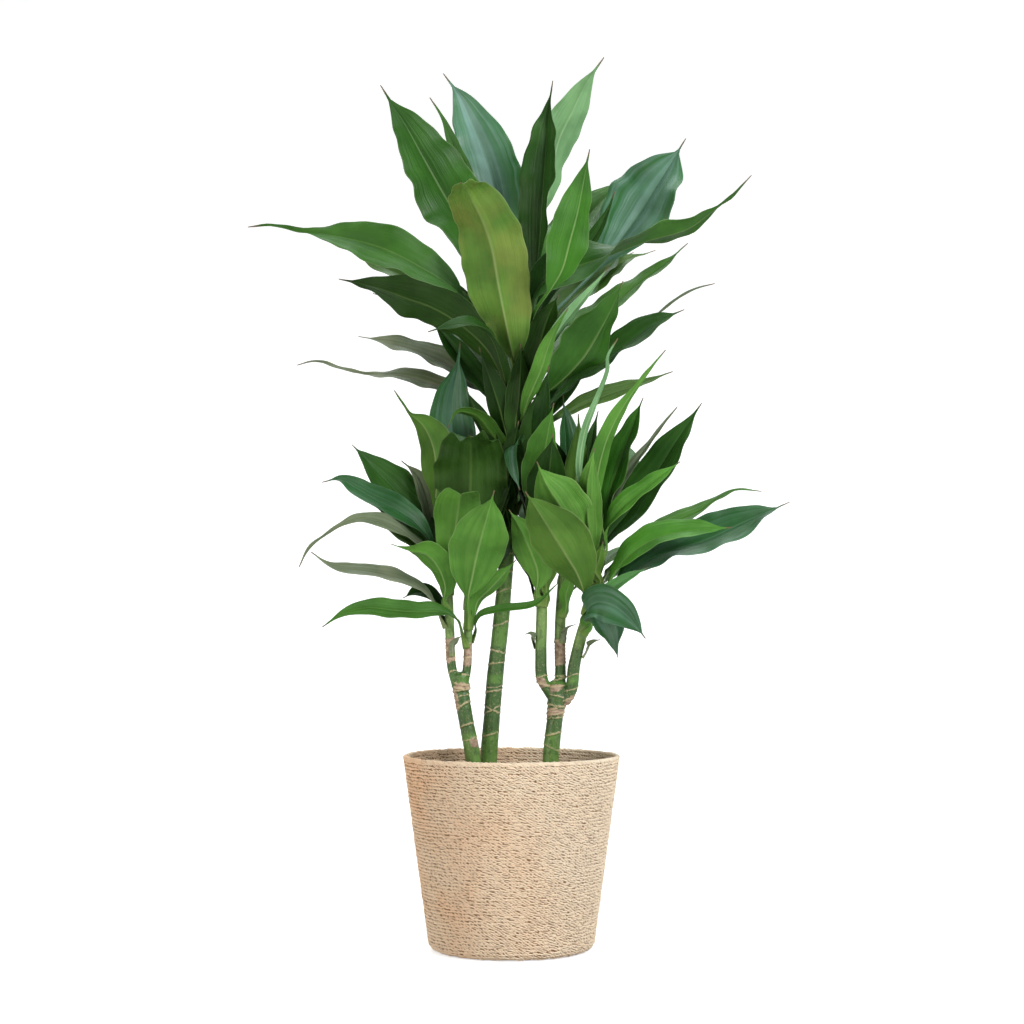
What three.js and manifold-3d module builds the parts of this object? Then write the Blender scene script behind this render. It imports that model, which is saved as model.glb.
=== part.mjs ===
// A potted corn plant: three canes with their leaves, in a nursery pot of soil, in a woven basket.
// Millimetres, +Z up. The origin is the centre of the basket's underside. The plant is seen from -Y.

import * as THREE from "three";
import { mergeVertices } from "three/addons/utils/BufferGeometryUtils.js";
import Module from "manifold-3d";

const wasm = await Module();
wasm.setup();

// ---------------------------------------------------------------- driving dimensions

// The gap that is left between pieces that touch.
const GAP = 0.3;

// Points closer together than this are one point.
const WELD = 1e-3;

// The basket of sewn rope courses: a cone with a flat bottom and a rounded rim.
const BASKET = { height: 214, rimRadius: 120, baseRadius: 91, corner: 12, wall: 6, sides: 56 };
const BASKET_STEPS = { outerCorner: 4, rim: 6, innerCorner: 3 };

// The plastic pot that stands in the basket.
const POT = { height: 178, topRadius: 100, baseRadius: 76, lip: 4, lipHeight: 9, wall: 1.6 };
const DRAIN = { count: 6, radius: 5, ring: 54, drilled: 6.4, sides: 10 };
const POT_SIDES = 40;

// The soil stops below the pot's lip. It is crowned towards the canes.
const SOIL = { level: 172, crown: 3 };

// A viewer stands this far in front of the basket's axis, with the eye at this height. Points of
// the plant are given as the viewer sees them against the upright plane through that axis.
const EYE = { distance: 2500, height: 395 };

// Leaves are thickest at the midrib and thin out to the margin.
const LEAF = {
  midrib: 1.5, // thickness at the midrib, by the foot
  thinning: 0.7, // share of that thickness lost towards the tip
  foot: 4.5, // half width of the foot, which shrinks along the petiole
  slimmest: 0.5, // share of the foot's width that the petiole keeps
  overlap: 0.1, // share of the length on which the petiole runs out into the blade
  rise: 13, // how far the foot follows the stem
  lean: 4, // how far it leans off the stem there
  opening: 0.25, // share of the length on which the blade folds open
  thread: 1.6, // half width of a drawn-out tip at its start
  end: 0.4, // half width at the very tip
  fullness: 0.72, // under 1, so that the blade is fuller than a sine
  stations: 14,
};

// Canes and shoots. The canes are rooted down to this height.
const STEM = { sides: 12, ringPitch: 22, fewestRings: 4, samples: 160 };
const ROOTED = 105;

// ---------------------------------------------------------------- colours of the pieces

const paint = (color, roughness) =>
  new THREE.MeshStandardMaterial({ color, roughness, metalness: 0, side: THREE.FrontSide });

const ROPE = paint(0xcdab83, 0.9);
const PLASTIC = paint(0x161616, 0.55);
const EARTH = paint(0x2c2018, 1.0);
const CANE = paint(0x5f9440, 0.55);
const TONE = {
  deep: paint(0x173f20, 0.35),
  mid: paint(0x33702a, 0.4),
  olive: paint(0x5c8a35, 0.5),
  bright: paint(0x6aa33a, 0.45),
  mint: paint(0x6fae6a, 0.5),
  blue: paint(0x4f8a78, 0.3),
  dry: paint(0x6a7058, 0.7),
};

// ---------------------------------------------------------------- helpers

// The place of a point that is seen at x, z and lies at this depth behind the basket's axis.
function sighted([x, z, depth]) {
  const spread = 1 + depth / EYE.distance;
  return new THREE.Vector3(x * spread, depth, EYE.height + (z - EYE.height) * spread);
}

// A geometry as a solid that can be joined and cut.
function solid(geometry) {
  const bare = geometry.clone();
  bare.deleteAttribute("normal");
  bare.deleteAttribute("uv");
  const merged = mergeVertices(bare, WELD);
  return new wasm.Manifold(
    new wasm.Mesh({
      numProp: 3,
      vertProperties: new Float32Array(merged.attributes.position.array),
      triVerts: new Uint32Array(merged.index.array),
    }),
  );
}

// A solid as a geometry again.
function geometryOf(body) {
  const { vertProperties, triVerts } = body.getMesh();
  const geometry = new THREE.BufferGeometry();
  geometry.setAttribute("position", new THREE.BufferAttribute(vertProperties, 3));
  geometry.setIndex(new THREE.BufferAttribute(triVerts, 1));
  geometry.computeVertexNormals();
  return geometry;
}

// A profile of [radius, height] pairs that starts and ends on the axis, turned about +Z.
function turned(profile, sides) {
  const points = profile.map(([radius, height]) => new THREE.Vector2(radius, height));
  return new THREE.LatheGeometry(points, sides).rotateX(Math.PI / 2);
}

// An arc of [radius, height] pairs about a centre, between two angles in degrees.
function arc([radius, height], size, from, to, steps) {
  return Array.from({ length: steps + 1 }, (_, i) => {
    const angle = THREE.MathUtils.degToRad(from + ((to - from) * i) / steps);
    return [radius + size * Math.cos(angle), height + size * Math.sin(angle)];
  });
}

const model = new THREE.Group();

function add(name, geometry, material) {
  const mesh = new THREE.Mesh(geometry, material);
  mesh.name = name;
  model.add(mesh);
}

// ---------------------------------------------------------------- basket, pot and soil

// The cone's radius at a height, outside.
const basketRadius = (z) =>
  BASKET.baseRadius + ((BASKET.rimRadius - BASKET.baseRadius) * z) / BASKET.height;

function basket() {
  const { height, rimRadius, corner, wall } = BASKET;
  const slope = THREE.MathUtils.radToDeg(
    Math.atan((rimRadius - BASKET.baseRadius) / height),
  );
  const cornerRadius = basketRadius(corner) - corner;
  const innerCorner = corner - wall;
  const rimCentre = [rimRadius - wall / 2, height - wall / 2];
  return turned(
    [
      [0, 0],
      ...arc([cornerRadius, corner], corner, -90, -slope, BASKET_STEPS.outerCorner),
      ...arc(rimCentre, wall / 2, -slope, 180 - slope, BASKET_STEPS.rim),
      ...arc([cornerRadius, corner], innerCorner, -slope, -90, BASKET_STEPS.innerCorner),
      [0, wall],
    ],
    BASKET.sides,
  );
}

const POT_FLOOR = BASKET.wall + GAP;
const potRadius = (z) => {
  const share = (z - POT_FLOOR) / POT.height;
  return POT.baseRadius + (POT.topRadius - POT.baseRadius) * share;
};

function nurseryPot() {
  const top = POT_FLOOR + POT.height;
  const lipFoot = top - POT.lipHeight;
  const inside = POT_FLOOR + POT.wall;
  const shell = solid(
    turned(
      [
        [0, POT_FLOOR],
        [POT.baseRadius, POT_FLOOR],
        [potRadius(lipFoot), lipFoot],
        [POT.topRadius + POT.lip, lipFoot],
        [POT.topRadius + POT.lip, top],
        [POT.topRadius - POT.wall, top],
        [POT.baseRadius - POT.wall, inside],
        [0, inside],
      ],
      POT_SIDES,
    ),
  );
  const holes = Array.from({ length: DRAIN.count }, (_, i) => {
    const angle = (i * 2 * Math.PI) / DRAIN.count;
    const hole = new THREE.CylinderGeometry(DRAIN.radius, DRAIN.radius, DRAIN.drilled, DRAIN.sides);
    hole.rotateX(Math.PI / 2);
    hole.translate(DRAIN.ring * Math.cos(angle), DRAIN.ring * Math.sin(angle), POT_FLOOR);
    return solid(hole);
  });
  return geometryOf(holes.reduce((body, hole) => body.subtract(hole), shell));
}

function soil(roots) {
  const bottom = POT_FLOOR + POT.wall + GAP;
  const inner = (z) => potRadius(z) - POT.wall - 2 * GAP;
  const plug = solid(
    turned(
      [
        [0, bottom],
        [inner(bottom), bottom],
        [inner(SOIL.level), SOIL.level],
        [inner(SOIL.level) / 2, SOIL.level + SOIL.crown / 2],
        [0, SOIL.level + SOIL.crown],
      ],
      POT_SIDES,
    ),
  );
  return geometryOf(roots.reduce((body, root) => body.subtract(root), plug));
}

// ---------------------------------------------------------------- canes and their side shoots

// A stem runs through its points, each [x, z, depth, radius], from its foot to its top.
class Stem {
  constructor(points) {
    this.curve = new THREE.CatmullRomCurve3(points.map(sighted));
    this.samples = this.curve.getPoints(STEM.samples);
    this.radii = points.map((point) => point[3]);
  }

  // The place on the axis, the direction and the radius where the stem passes a height.
  at(z) {
    const last = this.samples.length - 1;
    const next = this.samples.findIndex((point, i) => i > 0 && point.z >= z);
    const i = next < 0 ? last : next;
    const [low, high] = [this.samples[i - 1], this.samples[i]];
    const share = THREE.MathUtils.clamp((z - low.z) / (high.z - low.z), 0, 1);
    const along = ((i - 1 + share) / last) * (this.radii.length - 1);
    const k = Math.min(Math.floor(along), this.radii.length - 2);
    return {
      axis: low.clone().lerp(high, share),
      direction: high.clone().sub(low).normalize(),
      radius: THREE.MathUtils.lerp(this.radii[k], this.radii[k + 1], along - k),
    };
  }

  // The stem as a turned shape whose rings are shifted onto its axis, grown by a margin.
  geometry(grown = 0) {
    const foot = this.samples[0].z;
    const top = this.samples.at(-1).z;
    const rings = Math.max(STEM.fewestRings, Math.round((top - foot) / STEM.ringPitch));
    const profile = [[0, foot - grown]];
    for (let i = 0; i <= rings; i += 1) {
      const z = foot + ((top - foot) * i) / rings;
      const end = i === 0 ? -grown : i === rings ? grown : 0;
      profile.push([this.at(z).radius + grown, z + end]);
    }
    profile.push([0, top + grown]);
    const shape = turned(profile, STEM.sides);
    const place = shape.attributes.position;
    for (let i = 0; i < place.count; i += 1) {
      const { axis } = this.at(place.getZ(i));
      place.setX(i, place.getX(i) + axis.x);
      place.setY(i, place.getY(i) + axis.y);
    }
    return shape;
  }
}

const middleCane = new Stem([
  [-30, ROOTED, 16, 9.5],
  [-25, 212, 16, 9.5],
  [-22, 250, 16, 9.3],
  [-18, 300, 16, 9.2],
  [-12.5, 350, 15, 9],
  [-8, 400, 13, 8.6],
  [-3, 460, 10, 8],
  [2, 530, 6, 7.5],
  [6, 600, 2, 6.5],
  [10, 660, 0, 5],
  [12, 705, 0, 3],
]);

const leftCane = new Stem([
  [-36, ROOTED, -8, 8.5],
  [-43, 212, -8, 8.5],
  [-50, 250, -8, 8.4],
  [-55, 280, -8, 8.6],
  [-57, 299, -8, 9.6],
]);
const leftShootA = new Stem([
  [-60, 286, -9, 5],
  [-66, 310, -10, 5.2],
  [-68, 345, -10, 5.2],
  [-70, 400, -9, 4.8],
  [-73, 450, -8, 3.8],
  [-75, 490, -8, 2.5],
]);
const leftShootB = new Stem([
  [-53, 286, -7, 4.6],
  [-49, 310, -6, 4.8],
  [-48, 350, -6, 4.8],
  [-48, 400, -6, 4.6],
  [-50, 450, -5, 3.8],
  [-52, 490, -4, 2.5],
]);

const rightCane = new Stem([
  [40, ROOTED, -4, 9],
  [43.5, 212, -4, 9],
  [47.5, 250, -4, 9],
  [50, 272, -4, 10.5],
  [51, 290, -4, 10.5],
]);
const rightShootA = new Stem([
  [44, 276, -5, 5.5],
  [34, 296, -8, 6.5],
  [32.5, 325, -9, 6.5],
  [33.5, 375, -9, 6],
  [32, 430, -6, 5],
  [31, 490, -3, 3],
]);
const rightShootB = new Stem([
  [53, 276, -2, 6],
  [54, 300, 0, 6],
  [53.5, 345, 2, 6],
  [56, 400, 6, 5.4],
  [61, 450, 9, 4],
  [64, 500, 11, 2.6],
]);
const rightShootC = new Stem([
  [58, 268, -6, 6],
  [66, 284, -10, 6.6],
  [69, 310, -13, 6.8],
  [76, 340, -16, 6.6],
  [86, 375, -18, 6],
  [94, 420, -18, 4.8],
  [97, 465, -17, 3],
]);

// Stems that grew together, as one solid.
const grownTogether = (stems, grown) =>
  stems.map((stem) => solid(stem.geometry(grown))).reduce((body, other) => body.add(other));

// ---------------------------------------------------------------- leaves

// The share of its greatest width that a blade has at a place between its foot and its tip.
function bladeShare(place, petiole, widest, tail) {
  const along = THREE.MathUtils.clamp((place - petiole) / (1 - tail - petiole), 0, 1);
  const skew = Math.log(0.5) / Math.log(widest);
  return Math.pow(Math.sin(Math.PI * Math.pow(along, skew)), LEAF.fullness);
}

// Degrees that change evenly from each value of a list to the next, in radians.
function blended(degrees, place) {
  const along = place * (degrees.length - 1);
  const i = Math.min(Math.floor(along), degrees.length - 2);
  return THREE.MathUtils.degToRad(THREE.MathUtils.lerp(degrees[i], degrees[i + 1], along - i));
}

// What a leaf has unless its own entry says otherwise.
const PLAIN = { fold: 18, petiole: 0.16, widest: 0.5, tail: 0.05 };

// One leaf, as a closed blade that is folded along its midrib.
// from is the height where it leaves its stem, via the points of its midrib up to the tip, and
// face how its blade lies from foot to tip: 0 shows the viewer its upper face, 90 turns that
// face to the sky or the stem, and 180 shows the viewer the underside. The leaf leaves its stem
// on the side that its first face value calls for. petiole is the share of its length that is
// narrow at the foot, tail the share that is a drawn-out thread at the tip, and widest the place
// of the greatest width between them.
function leafGeometry(leaf) {
  const { stem, from, via, width, face, fold, petiole, widest, tail } = { ...PLAIN, ...leaf };
  const rib = via.map(sighted);
  const { axis, direction, radius } = stem.at(from);
  const side = rib.at(-1).x < axis.x ? 1 : -1;
  const bearing = Math.PI / 2 + side * THREE.MathUtils.degToRad(face[0]);
  const out = new THREE.Vector3(Math.cos(bearing), Math.sin(bearing), 0);
  const foot = axis.clone().addScaledVector(out, radius + GAP + LEAF.midrib / 2);
  const clear = foot
    .clone()
    .addScaledVector(direction, LEAF.rise)
    .addScaledVector(out, LEAF.lean);
  const spine = new THREE.CatmullRomCurve3([foot, clear, ...rib], false, "centripetal");

  // The direction across the blade when its upper face is to the viewer, carried along the spine.
  const facing = new THREE.Vector3(1, 0, 0);
  const corners = [];
  for (let i = 0; i <= LEAF.stations; i += 1) {
    const place = i / LEAF.stations;
    const centre = spine.getPointAt(place);
    const along = spine.getTangentAt(place);
    facing.addScaledVector(along, -facing.dot(along)).normalize();
    const across = facing.clone().applyAxisAngle(along, side * blended(face, place));
    const up = across.clone().cross(along);
    const blade = (width / 2) * bladeShare(place, petiole, widest, tail);
    const narrowing = THREE.MathUtils.clamp(1 - place / (2 * petiole), LEAF.slimmest, 1);
    const least = place < petiole + LEAF.overlap
      ? LEAF.foot * narrowing
      : THREE.MathUtils.lerp(LEAF.thread, LEAF.end, place);
    const half = Math.max(blade, least);
    const crease = THREE.MathUtils.degToRad(fold) * Math.min(1, place / LEAF.opening);
    const thick = (LEAF.midrib / 2) * (1 - LEAF.thinning * place);
    const lift = half * Math.sin(crease);
    corners.push(
      centre.clone().addScaledVector(across, half * Math.cos(crease)).addScaledVector(up, lift),
      centre.clone().addScaledVector(up, thick),
      centre.clone().addScaledVector(across, -half * Math.cos(crease)).addScaledVector(up, lift),
      centre.clone().addScaledVector(up, -thick),
    );
  }

  // The upper and the lower strips are split along the same diagonals, so that they never cross.
  const faces = [0, 1, 2, 0, 2, 3];
  for (let ring = 0; ring < 4 * LEAF.stations; ring += 4) {
    for (let k = 0; k < 4; k += 1) {
      const [a, b] = [ring + k, ring + ((k + 1) % 4)];
      if (k < 2) faces.push(a, a + 4, b + 4, a, b + 4, b);
      else faces.push(a, a + 4, b, a + 4, b + 4, b);
    }
  }
  const end = 4 * LEAF.stations;
  faces.push(end, end + 2, end + 1, end, end + 3, end + 2);
  const geometry = new THREE.BufferGeometry().setFromPoints(corners);
  geometry.setIndex(faces);
  geometry.computeVertexNormals();
  return geometry;
}

const TOP = middleCane;
const CROWN = {
  // the lowest leaves of the crown, on the left
  crown_leaf_lowest_left: {
    stem: TOP, from: 550, width: 36, face: [80, 30, 20], tone: "dry", tail: 0.25, widest: 0.42,
    via: [
      [-30, 588, 28], [-60, 608, 42], [-87, 622, 50], [-122, 631, 56], [-163, 634, 60],
      [-218, 648, 62], [-238, 644, 62],
    ],
  },
  crown_leaf_grey_left: {
    stem: TOP, from: 572, width: 46, face: [60, 30, 22], tone: "dry",
    via: [
      [-20, 603, 30], [-46, 626, 44], [-72, 644, 52], [-98, 656, 58], [-124, 665, 62],
      [-149, 672, 64], [-170, 676, 66],
    ],
  },
  crown_leaf_dark_left: {
    stem: TOP, from: 604, width: 68, face: [100, 135, 145, 150], tone: "deep", petiole: 0.14, widest: 0.42,
    via: [
      [-26, 660, 4], [-58, 690, -2], [-88, 708, -6], [-118, 719, -6], [-152, 731, -2], [-192, 740, 0],
    ],
  },
  crown_leaf_small_left: {
    stem: TOP, from: 590, width: 32, face: [135, 110, 60], tone: "deep",
    via: [[-10, 640, -34], [-24, 676, -52], [-44, 689, -62], [-68, 688, -68], [-93, 681, -72]],
  },
  crown_leaf_long_left: {
    stem: TOP, from: 636, width: 58, face: [120, 60, 40, 36], tone: "mid",
    petiole: 0.3, widest: 0.42, tail: 0.17,
    via: [
      [-22, 690, -26], [-48, 716, -34], [-76, 738, -42], [-98, 751, -48], [-121, 764, -50],
      [-146, 775, -48], [-173, 783, -44], [-202, 789, -38], [-238, 795, -32], [-266, 800, -26],
      [-293, 798, -20],
    ],
  },
  crown_leaf_olive_left: {
    stem: TOP, from: 646, width: 44, face: [60, 22, 12], tone: "olive",
    via: [
      [-22, 690, 24], [-56, 711, 40], [-90, 729, 50], [-120, 743, 56], [-150, 757, 58], [-186, 780, 60],
    ],
  },

  // the leaves that stand up at the top, from left to right
  crown_leaf_upper_left: {
    stem: TOP, from: 668, width: 84, face: [30, 20, 15], tone: "mid", widest: 0.52,
    via: [
      [-26, 748, 26], [-56, 802, 30], [-80, 842, 32], [-100, 878, 32], [-120, 915, 30],
      [-136, 940, 26], [-146, 957, 20],
    ],
  },
  crown_leaf_blue: {
    stem: TOP, from: 678, width: 71, face: [8, 5, 0], tone: "blue", widest: 0.58,
    via: [[2, 750, 44], [-12, 812, 66], [-27, 868, 78], [-42, 908, 86], [-58, 944, 92], [-76, 970, 96]],
  },
  crown_leaf_front: {
    stem: TOP, from: 622, width: 76, face: [165, 178, 180, 180], tone: "olive", petiole: 0.1, widest: 0.44,
    via: [
      [-4, 680, -42], [-14, 730, -64], [-22, 774, -88], [-32, 804, -108],
      [-44, 828, -132], [-52, 842, -164], [-57, 848, -212],
    ],
  },
  crown_leaf_dark_upright: {
    stem: TOP, from: 680, width: 56, face: [80, 40, 32], tone: "deep", fold: 30, widest: 0.5,
    via: [[28, 745, 8], [33, 800, 12], [36, 850, 14], [39, 895, 16], [42, 930, 16], [46, 962, 14]],
  },
  crown_leaf_tallest: {
    stem: TOP, from: 692, width: 48, face: [10, 80, 155, 168], tone: "mint", widest: 0.64,
    via: [
      [28, 755, 34], [37, 810, 48], [45, 860, 54], [54, 898, 56], [67, 925, 56], [83, 958, 54],
      [103, 988, 50],
    ],
  },
  crown_leaf_short_front: {
    stem: TOP, from: 664, width: 50, face: [130, 165, 172], tone: "bright", petiole: 0.36, widest: 0.44,
    via: [
      [27, 704, -46], [43, 728, -70], [56, 750, -79], [65, 782, -80], [73, 812, -76], [80, 848, -70],
      [87, 885, -64],
    ],
  },
  crown_leaf_striped_right: {
    stem: TOP, from: 656, width: 92, face: [35, 16, 10], tone: "blue", petiole: 0.42, widest: 0.6,
    via: [[50, 704, 40], [92, 748, 58], [122, 785, 64], [146, 819, 68], [167, 852, 68], [194, 897, 64]],
  },

  // the leaves that spread to the right
  crown_leaf_twisted_right: {
    stem: TOP, from: 612, width: 58, face: [150, 120, 50, 40, 95, 150, 155, 155], tone: "mid",
    petiole: 0.24, widest: 0.38, tail: 0.12,
    via: [
      [14, 680, -26], [25, 722, -32], [48, 746, -42], [82, 757, -48], [116, 769, -50], [150, 782, -46],
      [196, 796, -40], [228, 819, -34], [250, 837, -32], [267, 856, -30],
    ],
  },
  crown_leaf_slim_right: {
    stem: TOP, from: 640, width: 36, face: [55, 38, 30], tone: "mid",
    via: [[54, 684, 28], [100, 704, 38], [140, 733, 44], [170, 756, 48], [196, 780, 50]],
  },
  crown_leaf_front_right: {
    stem: TOP, from: 588, width: 72, face: [125, 150, 155], tone: "mid", widest: 0.52,
    via: [[36, 612, -24], [59, 630, -34], [81, 654, -44], [98, 682, -50], [112, 709, -54], [124, 738, -58]],
  },
  crown_leaf_dark_right: {
    stem: TOP, from: 578, width: 48, face: [80, 60, 42], tone: "deep", widest: 0.56,
    via: [[40, 600, 0], [76, 630, 2], [106, 651, 4], [131, 670, 6], [155, 689, 8], [192, 706, 10]],
  },
  crown_leaf_lowest_right: {
    stem: TOP, from: 556, width: 26, face: [60, 22, 15], tone: "olive",
    via: [[36, 576, 24], [72, 596, 42], [106, 611, 50], [134, 620, 54], [179, 637, 58]],
  },
  crown_leaf_strap_front: {
    stem: TOP, from: 564, width: 22, face: [150, 155, 155], tone: "bright",
    via: [[15, 598, -30], [32, 638, -58], [45, 676, -80], [63, 708, -96]],
  },

  // the leaves of the far side
  crown_leaf_back_low_left: {
    stem: TOP, from: 582, width: 56, face: [25, 30, 35], tone: "mid",
    via: [[-22, 630, 70], [-52, 668, 120], [-84, 700, 164], [-110, 712, 205]],
  },
  crown_leaf_back_low: {
    stem: TOP, from: 600, width: 60, face: [0, 0, 0], tone: "mid",
    via: [[0, 650, 70], [-6, 690, 130], [-10, 706, 190], [-14, 700, 240]],
  },
  crown_leaf_back_low_right: {
    stem: TOP, from: 594, width: 58, face: [30, 35, 30], tone: "mid",
    via: [[36, 640, 60], [66, 672, 104], [92, 694, 150], [112, 704, 200]],
  },
  crown_leaf_back_middle: {
    stem: TOP, from: 614, width: 64, face: [0, 0, 0], tone: "mid",
    via: [[2, 684, 50], [-6, 754, 110], [-16, 796, 168], [-26, 806, 224]],
  },
  crown_leaf_back_right: {
    stem: TOP, from: 630, width: 62, face: [35, 40, 40], tone: "mid",
    via: [[46, 690, 62], [84, 730, 104], [116, 758, 146], [136, 770, 190]],
  },
};

const [LEFT_A, LEFT_B] = [leftShootA, leftShootB];
const LEFT = {
  // broad leaves that lean towards the viewer
  left_leaf_front: {
    stem: LEFT_B, from: 350, width: 66, face: [178, 180, 180], tone: "bright", petiole: 0.24, widest: 0.48,
    via: [
      [-48, 386, -32], [-44, 406, -44], [-39, 430, -58], [-32, 458, -76], [-25, 483, -90],
      [-19, 505, -100],
    ],
  },
  left_leaf_blunt: {
    stem: LEFT_A, from: 388, width: 54, face: [165, 175, 180], tone: "bright", petiole: 0.12, widest: 0.58,
    via: [[-66, 425, -34], [-62, 462, -46], [-58, 490, -62], [-57, 500, -84], [-55, 500, -112]],
  },
  left_leaf_wavy: {
    stem: LEFT_B, from: 408, width: 88, face: [172, 180, 180], tone: "deep", petiole: 0.1, widest: 0.44,
    via: [[-47, 452, -20], [-46, 496, -28], [-45, 534, -42], [-45, 558, -70], [-44, 565, -116]],
  },
  left_leaf_low_front: {
    stem: LEFT_A, from: 368, width: 40, face: [150, 150, 150], tone: "bright",
    via: [[-73, 398, -26], [-80, 418, -36], [-94, 434, -46], [-112, 438, -54], [-134, 446, -58]],
  },

  // leaves that stand up
  left_leaf_olive_high: {
    stem: LEFT_A, from: 440, width: 50, face: [95, 150, 155], tone: "olive", tail: 0.16, widest: 0.55,
    via: [
      [-84, 482, -10], [-83, 520, -12], [-87, 554, -10], [-98, 577, -8], [-114, 592, -6], [-130, 616, -4],
    ],
  },
  left_leaf_blue_high: {
    stem: LEFT_B, from: 446, width: 54, face: [15, 5, 0], tone: "blue", tail: 0.09, widest: 0.54,
    via: [[-60, 500, 12], [-65, 555, 18], [-66, 600, 16], [-60, 640, 14], [-57, 670, 14]],
  },

  // leaves that spread to the left
  left_leaf_striped: {
    stem: LEFT_A, from: 426, width: 52, face: [40, 25, 20], tone: "deep", widest: 0.52,
    via: [[-96, 472, 16], [-122, 498, 26], [-146, 523, 30], [-177, 556, 30]],
  },
  left_leaf_glossy: {
    stem: LEFT_A, from: 408, width: 38, face: [85, 55, 48, 40], tone: "blue", widest: 0.56,
    via: [
      [-88, 446, -14], [-108, 471, -18], [-130, 485, -20], [-150, 494, -20], [-172, 507, -20],
      [-190, 517, -20], [-210, 514, -18],
    ],
  },
  left_leaf_drooping_tip: {
    stem: LEFT_A, from: 392, width: 23, face: [100, 70, 60, 55], tone: "dry", widest: 0.42, tail: 0.25,
    via: [
      [-86, 427, -18], [-108, 449, -28], [-130, 464, -36], [-152, 472, -42], [-172, 473, -46],
      [-190, 466, -46], [-208, 454, -46], [-224, 441, -46], [-235, 420, -46],
    ],
  },
  left_leaf_thin: {
    stem: LEFT_A, from: 352, width: 26, face: [90, 56, 46], tone: "dry", widest: 0.42,
    via: [
      [-84, 378, -14], [-97, 393, -16], [-122, 406, -18], [-155, 414, -20], [-198, 421, -24],
      [-222, 437, -26],
    ],
  },
  left_leaf_lowest: {
    stem: LEFT_B, from: 330, width: 28, face: [140, 90, 55, 52], tone: "mid", widest: 0.4,
    via: [
      [-60, 362, -26], [-78, 370, -32], [-104, 370, -38], [-130, 372, -40], [-158, 375, -42],
      [-184, 370, -44], [-209, 354, -44],
    ],
  },

  // leaves of the far side
  left_leaf_back: {
    stem: LEFT_A, from: 378, width: 54, face: [15, 20, 25], tone: "mid",
    via: [[-74, 420, 30], [-82, 462, 70], [-94, 494, 110], [-110, 506, 150]],
  },
  left_leaf_back_low: {
    stem: LEFT_B, from: 372, width: 52, face: [5, 0, 0], tone: "mid",
    via: [[-50, 408, 36], [-52, 438, 80], [-58, 452, 124], [-64, 446, 164]],
  },
};

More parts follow.
